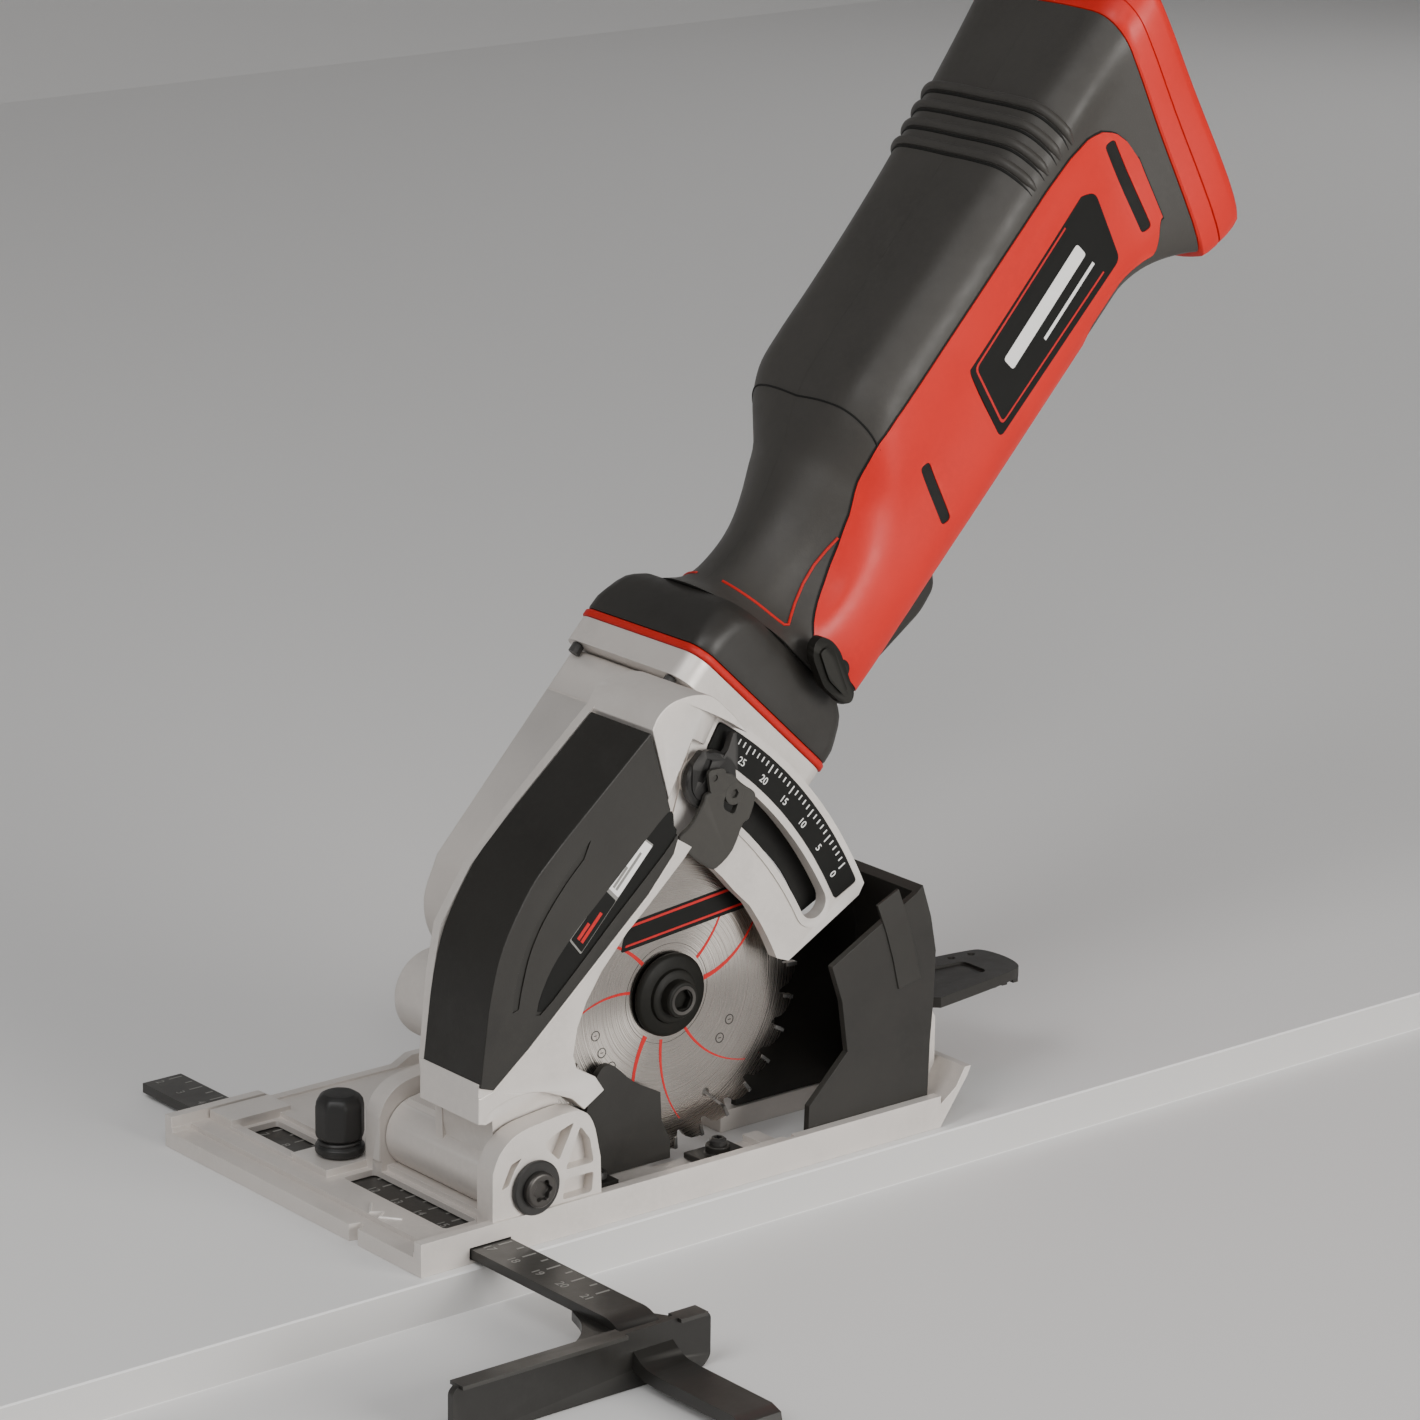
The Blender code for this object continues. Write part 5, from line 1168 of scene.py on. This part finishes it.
# ---- blade and depth stop
def make_blade():
    c = SPINDLE
    step = 2 * math.pi / TEETH
    profile = ((BLADE_R - 5.2, 0.06), (BLADE_R - 4.6, 0.16), (BLADE_R - 2.4, 0.3), (BLADE_R - 1.1, 0.5),
        (BLADE_R - 0.5, 0.72), (BLADE_R - 0.3, 0.9), (BLADE_R - 0.35, 0.955), (BLADE_R - 3.4, 0.97),
        (BLADE_R - 4.9, 1))
    rings = []
    for k in range(TEETH):
        for r, b in profile:
            a = (k + b) * step
            rings.append([c(rr * math.cos(a), rr * math.sin(a), y) for rr, y in ((5, BLADE_NEAR), (r, BLADE_NEAR),
                (r, BLADE_FAR), (5, BLADE_FAR))])
    blade = loft(rings, BLADE_STEEL, closed=True)
    # expansion slots that end in a round hole
    for k in range(4):
        a = 90 * k + 24
        inner = polar(BLADE_R - 11, a, SPINDLE_X, SPINDLE_Z)
        outer = polar(BLADE_R + 1, a + 7, SPINDLE_X, SPINDLE_Z)
        cut(blade, prism_y(bar(inner, outer, 0.45), 18, 22), rod(1.2, 18, 22, about_y(*inner), 20))
    put(shaded(blade, 30), "blade_group", "blade")
    tips = []
    for k in range(TEETH):
        a = (k + 0.9) * step
        e = Vector((math.cos(a), math.sin(a)))
        s = Vector((-e.y, e.x))
        root, tip = e * (BLADE_R - 3.3), e * (BLADE_R - 0.02)
        quad = [root - s * 0.35, tip - s * 0.55, tip + s * 0.42, root + s * 0.55]
        tips.append(prism_y(moved(quad, SPINDLE_X, SPINDLE_Z), 19.02, 20.98))
    put(merged(tips, CARBIDE), "blade_group", "blade", "blade_tips")
    # printed curved rays, a plain dark band and etched rings on the near face
    rays = []
    for a0, twist, w in ((8, 38, 1), (38, 30, 0.7), (130, 30, 0.8), (168, 34, 0.6), (236, 32, 1.1),
            (262, 26, 0.7), (300, 30, 0.6)):
        left, right = [], []
        for i in range(13):
            u = i / 12
            r = 12.6 + (BLADE_R - 8.2 - 12.6) * u
            a = a0 + twist * u ** 1.4 * 0.6
            half = math.degrees(0.62 * w * (0.35 + 0.75 * (1 - u)) / r)
            left.append(polar(r, a - half, SPINDLE_X, SPINDLE_Z))
            right.append(polar(r, a + half, SPINDLE_X, SPINDLE_Z))
        rays.append(prism_y(left + right[::-1], 19.19, 19.26))
    put(merged(rays, INK_RED), "blade_group", "blade", "blade_rays")
    band = cornered([(-15.5, 14.2), (28, 18.6), (25.2, 26), (-13.5, 22)], 1, 3)
    put(prism_y(moved(band, SPINDLE_X, SPINDLE_Z), 19.17, 19.26, LABEL), "blade_group", "blade", "blade_band")
    lines = [prism_y(moved(line, SPINDLE_X, SPINDLE_Z), 19.13, 19.2) for line in (((-12.8, 20.6), (24.6, 24.5),
        (24.3, 25.2), (-12.6, 21.3)), ((-14, 15.4), (26.4, 19.5), (26.2, 20.1), (-13.8, 16)))]
    put(merged(lines, INK_RED), "blade_group", "blade", "blade_band_lines")
    marks = []
    for r, w in ((BLADE_R - 7.2, 0.14), (BLADE_R - 8, 0.09), (13.6, 0.1)):
        marks.append(hollow([(r, 19.2), (r + w, 19.2), (r + w, 19.27), (r, 19.27)], c, 96))
    for a in (196, 209, 222, 318, 331):
        x, z = polar(24.5, a, SPINDLE_X, SPINDLE_Z)
        marks.append(hollow([(1.15, 19.2), (1.45, 19.2), (1.45, 19.27), (1.15, 19.27)], about_y(x, z), 24))
        marks.append(box((x - 0.5, x + 0.5), (19.2, 19.27), (z - 0.12, z + 0.12)))
    put(merged(marks, ETCH), "blade_group", "blade", "blade_etching")
    inner = hollow([(5.1, 21.2), (11.8, 21.2), (11.8, 23.4), (11.2, 24), (5.1, 24)], c, 64, HUB_BLACK)
    put(shaded(inner), "blade_group", "blade_flange_inner")
    outer = hollow([(2.9, 15.2), (6.3, 15.2), (7.2, 15.7), (7.5, 16.5), (10.4, 16.8), (11, 17.2), (11.3, 17.7),
        (11.3, 18.4), (11, 18.8), (2.9, 18.8)], c, 72, HUB_BLACK)
    put(shaded(outer, 30), "blade_group", "blade_flange_outer")
    bolt = turned([(4.1, 12), (4.7, 12.2), (5, 12.7), (5, 15.2), (2.6, 15.3), (2.6, 19.1)], c, 64, HUB_BLACK)
    cut(bolt, rod(2.9, 10, 14.4, c, 6), turned([(3.9, 11.7), (2.85, 12.7)], c, 32))
    put(shaded(bolt, 30), "blade_group", "blade_bolt")
    lip = hollow([(3.05, 12.05), (3.95, 11.95), (3.95, 12.15), (3.05, 12.3)], c, 48, ETCH)
    put(shaded(lip, 30), "blade_group", "blade_bolt", "blade_bolt_lip")


def make_depth_stop():
    x, z = polar((SLOT_IN + SLOT_OUT) / 2, STOP_ANGLE)
    c = about_y(x, z)
    slider = hollow([(2.4, 7.6), (7.3, 7.9), (7.9, 8.4), (7.9, 9.9), (4, 10), (4, 15), (2.4, 15)], c, 48, ZINC)
    # the block beside the clamp and the pointer that reads the scale
    join(slider, prism_y(cornered(moved([(-6.2, -1.5), (-6.2, 5.2), (-2.9, 8.6), (4.5, 5.1), (8, 2.6), (8.6, -3),
        (0, -6), (-4.8, -4)], x, z), 1.2, 4), 7.5, 9.6))
    tip = moved([(3.6, 4.9), (5.8, 7.4), (7.4, 11.4), (8.4, 11.4), (9, 7), (9, 1)], x, z)
    join(slider, prism_y(tip, 7.7, 9.8))
    cut(slider, prism_y(cornered(moved([(-4.6, 0.6), (-1.6, 6.4), (0.4, 5.4), (-2.4, -0.2)], x, z), 0.5, 3), 5.6,
        8.1))
    put(eased(slider, 0.35, 2, 34), "depth_stop", "depth_stop_slider")
    bolt = turned([(1.4, 7.4), (2.1, 7.5), (2.1, 15.4), (5.4, 15.4), (5.4, 17.6)], c, 24, ZINC)
    put(shaded(bolt, 30), "depth_lever", "depth_stop_bolt")
    # the lever widens from its hub to a broad tip
    paddle = [(1.8, 1.4), (0.2, -1.9), (-2.8, -2.9), (-3.8, -5), (-6.9, -9.6), (-11.2, -12.6), (-11.3, -14.8),
        (-7, -19), (-1.8, -22.8), (0.9, -23.4), (6.2, -19.6), (9.6, -13), (11.6, -12), (13.6, -6.9), (13, -4.8),
        (10.2, -2.8), (8, -1), (5.4, 1.3)]
    edge = spline(paddle, 3, closed=True)
    rings = []
    for off, grow in ((7.3, 0.95), (7.1, 1), (6.05, 1), (5.7, 0.95)):
        ring = []
        for u, v in edge:
            ring.append((x + (u - 1) * grow + 1, off, z + (v + 11) * grow - 11))
        rings.append(ring)
    lever = loft(rings, LEVER_BLACK)
    # open slot with the head of the clamping bolt in it
    cut(lever, prism_y(cornered(moved([(3, -4.6), (6.2, -1.8), (8.6, -4.4), (6.4, -10), (2.6, -7.6)], x, z), 1.4,
        4), 2, 8))
    join(lever, rod(3, 5.65, 7.1, about_y(x + 6.4, z - 4.2), 28))
    cut(lever, rod(1.3, 4, 6.5, about_y(x + 6.4, z - 4.2), 6))
    join(lever, prism_y(cornered(moved([(-2.6, 3.6), (3.2, 3.4), (4.4, -2.6), (-1.6, -3.2)], x, z), 1.6, 4), 5.65,
        6.6))
    cut(lever, rod(0.9, 4, 6.1, about_y(x - 0.2, z + 1.2), 24))
    put(eased(lever, 0.3, 2, 36), "depth_lever", "depth_lever")


def give(nodes, mat):
    for name in nodes:
        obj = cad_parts[name]
        for slot in obj.material_slots:
            slot.material = mat
        if not obj.material_slots:
            obj.data.materials.append(mat)


def make_rest():
    give(["pivot_nut", "release_pin", "guide_clamp_screw", "spindle", "front_bearing", "rear_bearing",
        "spindle_bearing_near", "spindle_bearing_far", "crown_gear", "rotor_shaft", "pinion"], STEEL)
    give(["flange_screw_near", "flange_screw_far"], ZINC)
    give(["stator"], LAMINATED)
    give(["rotor_core"], COPPER)
    give(["circuit_board"], BOARD)
    give(["motor_end_plate", "fan", "switch_body"], DARK_PLASTIC_AND_SHADE)


# ---- floor, lights, camera
def plain(name, rgb, rough):
    mat, tree, shader = blank(name)
    feed(tree, shader, {"Base Color": rgb + (1,), "Roughness": rough})
    return mat


def make_stage():
    """A pale floor with one low step, so that the fence can hang beside the board the saw stands on."""
    pale = plain("pale_floor", (0.8, 0.79, 0.78), 0.75)
    # the step's riser gets a darker copy of the floor colour: painted shade that cancels the stronger key light
    # on it, so the step hardly shows
    painted_shade_riser = plain("pale_floor_riser_painted_shade", (0.6, 0.59, 0.58), 0.8)
    rings = []
    for y, z in ((-3500, -11.2), (-3.2, -11.2), (-3, -11), (-3, -0.5), (-2.6, -0.06), (1500, -0.06), (1900, 60),
            (2150, 350), (2200, 1500)):
        rings.append([(-4200, y, z), (4200, y, z), (4200, y + 6, z - 30), (-4200, y + 6, z - 30)])
    floor = loft(rings, pale)
    floor.name = "studio_floor"
    floor.data.materials.append(painted_shade_riser)
    # riser faces take the darker painted-shade copy of the floor
    for face in floor.data.polygons:
        spot = face.center / MM + ORIGIN
        if abs(spot.y + 3) < 1 and spot.z > -12 and (face.area > 0.01) and (abs(face.normal.y) > 0.8):
            face.material_index = 1


AIM = (0.03, 0, 0.12)


def area_light(name, where, size, power, colour=(1, 1, 1)):
    data = bpy.data.lights.new(name, "AREA")
    data.shape = "RECTANGLE"
    data.size = size[0]
    data.size_y = size[1]
    data.energy = power
    data.color = colour
    obj = bpy.data.objects.new(name, data)
    bpy.context.scene.collection.objects.link(obj)
    obj.location = where
    obj.rotation_mode = "QUATERNION"
    obj.rotation_quaternion = (Vector(AIM) - Vector(where)).to_track_quat("-Z", "Y")


def make_lights():
    world = bpy.data.worlds.new("studio_world")
    bpy.context.scene.world = world
    world.use_nodes = True
    back = world.node_tree.nodes["Background"]
    back.inputs["Color"].default_value = (0.96, 0.97, 1, 1)
    back.inputs["Strength"].default_value = 0.11
    area_light("key", (0.45, -1.85, 0.5), (1.1, 0.9), 36, (1, 0.985, 0.955))
    area_light("sheen", (-0.69, -1.16, 1.34), (0.55, 0.55), 5.5)
    area_light("top", (-0.1, 0.25, 1.7), (1.2, 1.2), 2)
    area_light("left", (-1.3, -0.4, 1.3), (0.8, 1.1), 14)
    area_light("rim", (1.5, 0.9, 0.8), (0.5, 1), 2)


SENSOR = 36
LENS = 134.04
EYE = (-0.8137, -1.05405, 0.5141)


def make_camera():
    data = bpy.data.cameras.new("camera")
    data.sensor_width = SENSOR
    data.lens = LENS
    data.clip_start = 0.01
    data.clip_end = 50
    camera = bpy.data.objects.new("camera", data)
    bpy.context.scene.collection.objects.link(camera)
    right = Vector((0.7751, -0.6317, 0.0126)).normalized()
    back = Vector((-0.6085, -0.7411, 0.2838)).normalized()
    up = back.cross(right).normalized()
    right = up.cross(back)
    turn = Matrix((right, up, back)).transposed()
    camera.matrix_world = Matrix.Translation(EYE) @ turn.to_4x4()
    bpy.context.scene.camera = camera


for make in (make_camera, make_lights, make_stage, make_base, make_pivot, make_guards, make_guide,
        make_guide_clamp, make_release_lever, make_guard_casting, make_cover, make_scale, make_dust_port,
        make_gearcase, make_head, make_handle, make_dock, make_controls, make_blade, make_depth_stop, make_rest):
    make()
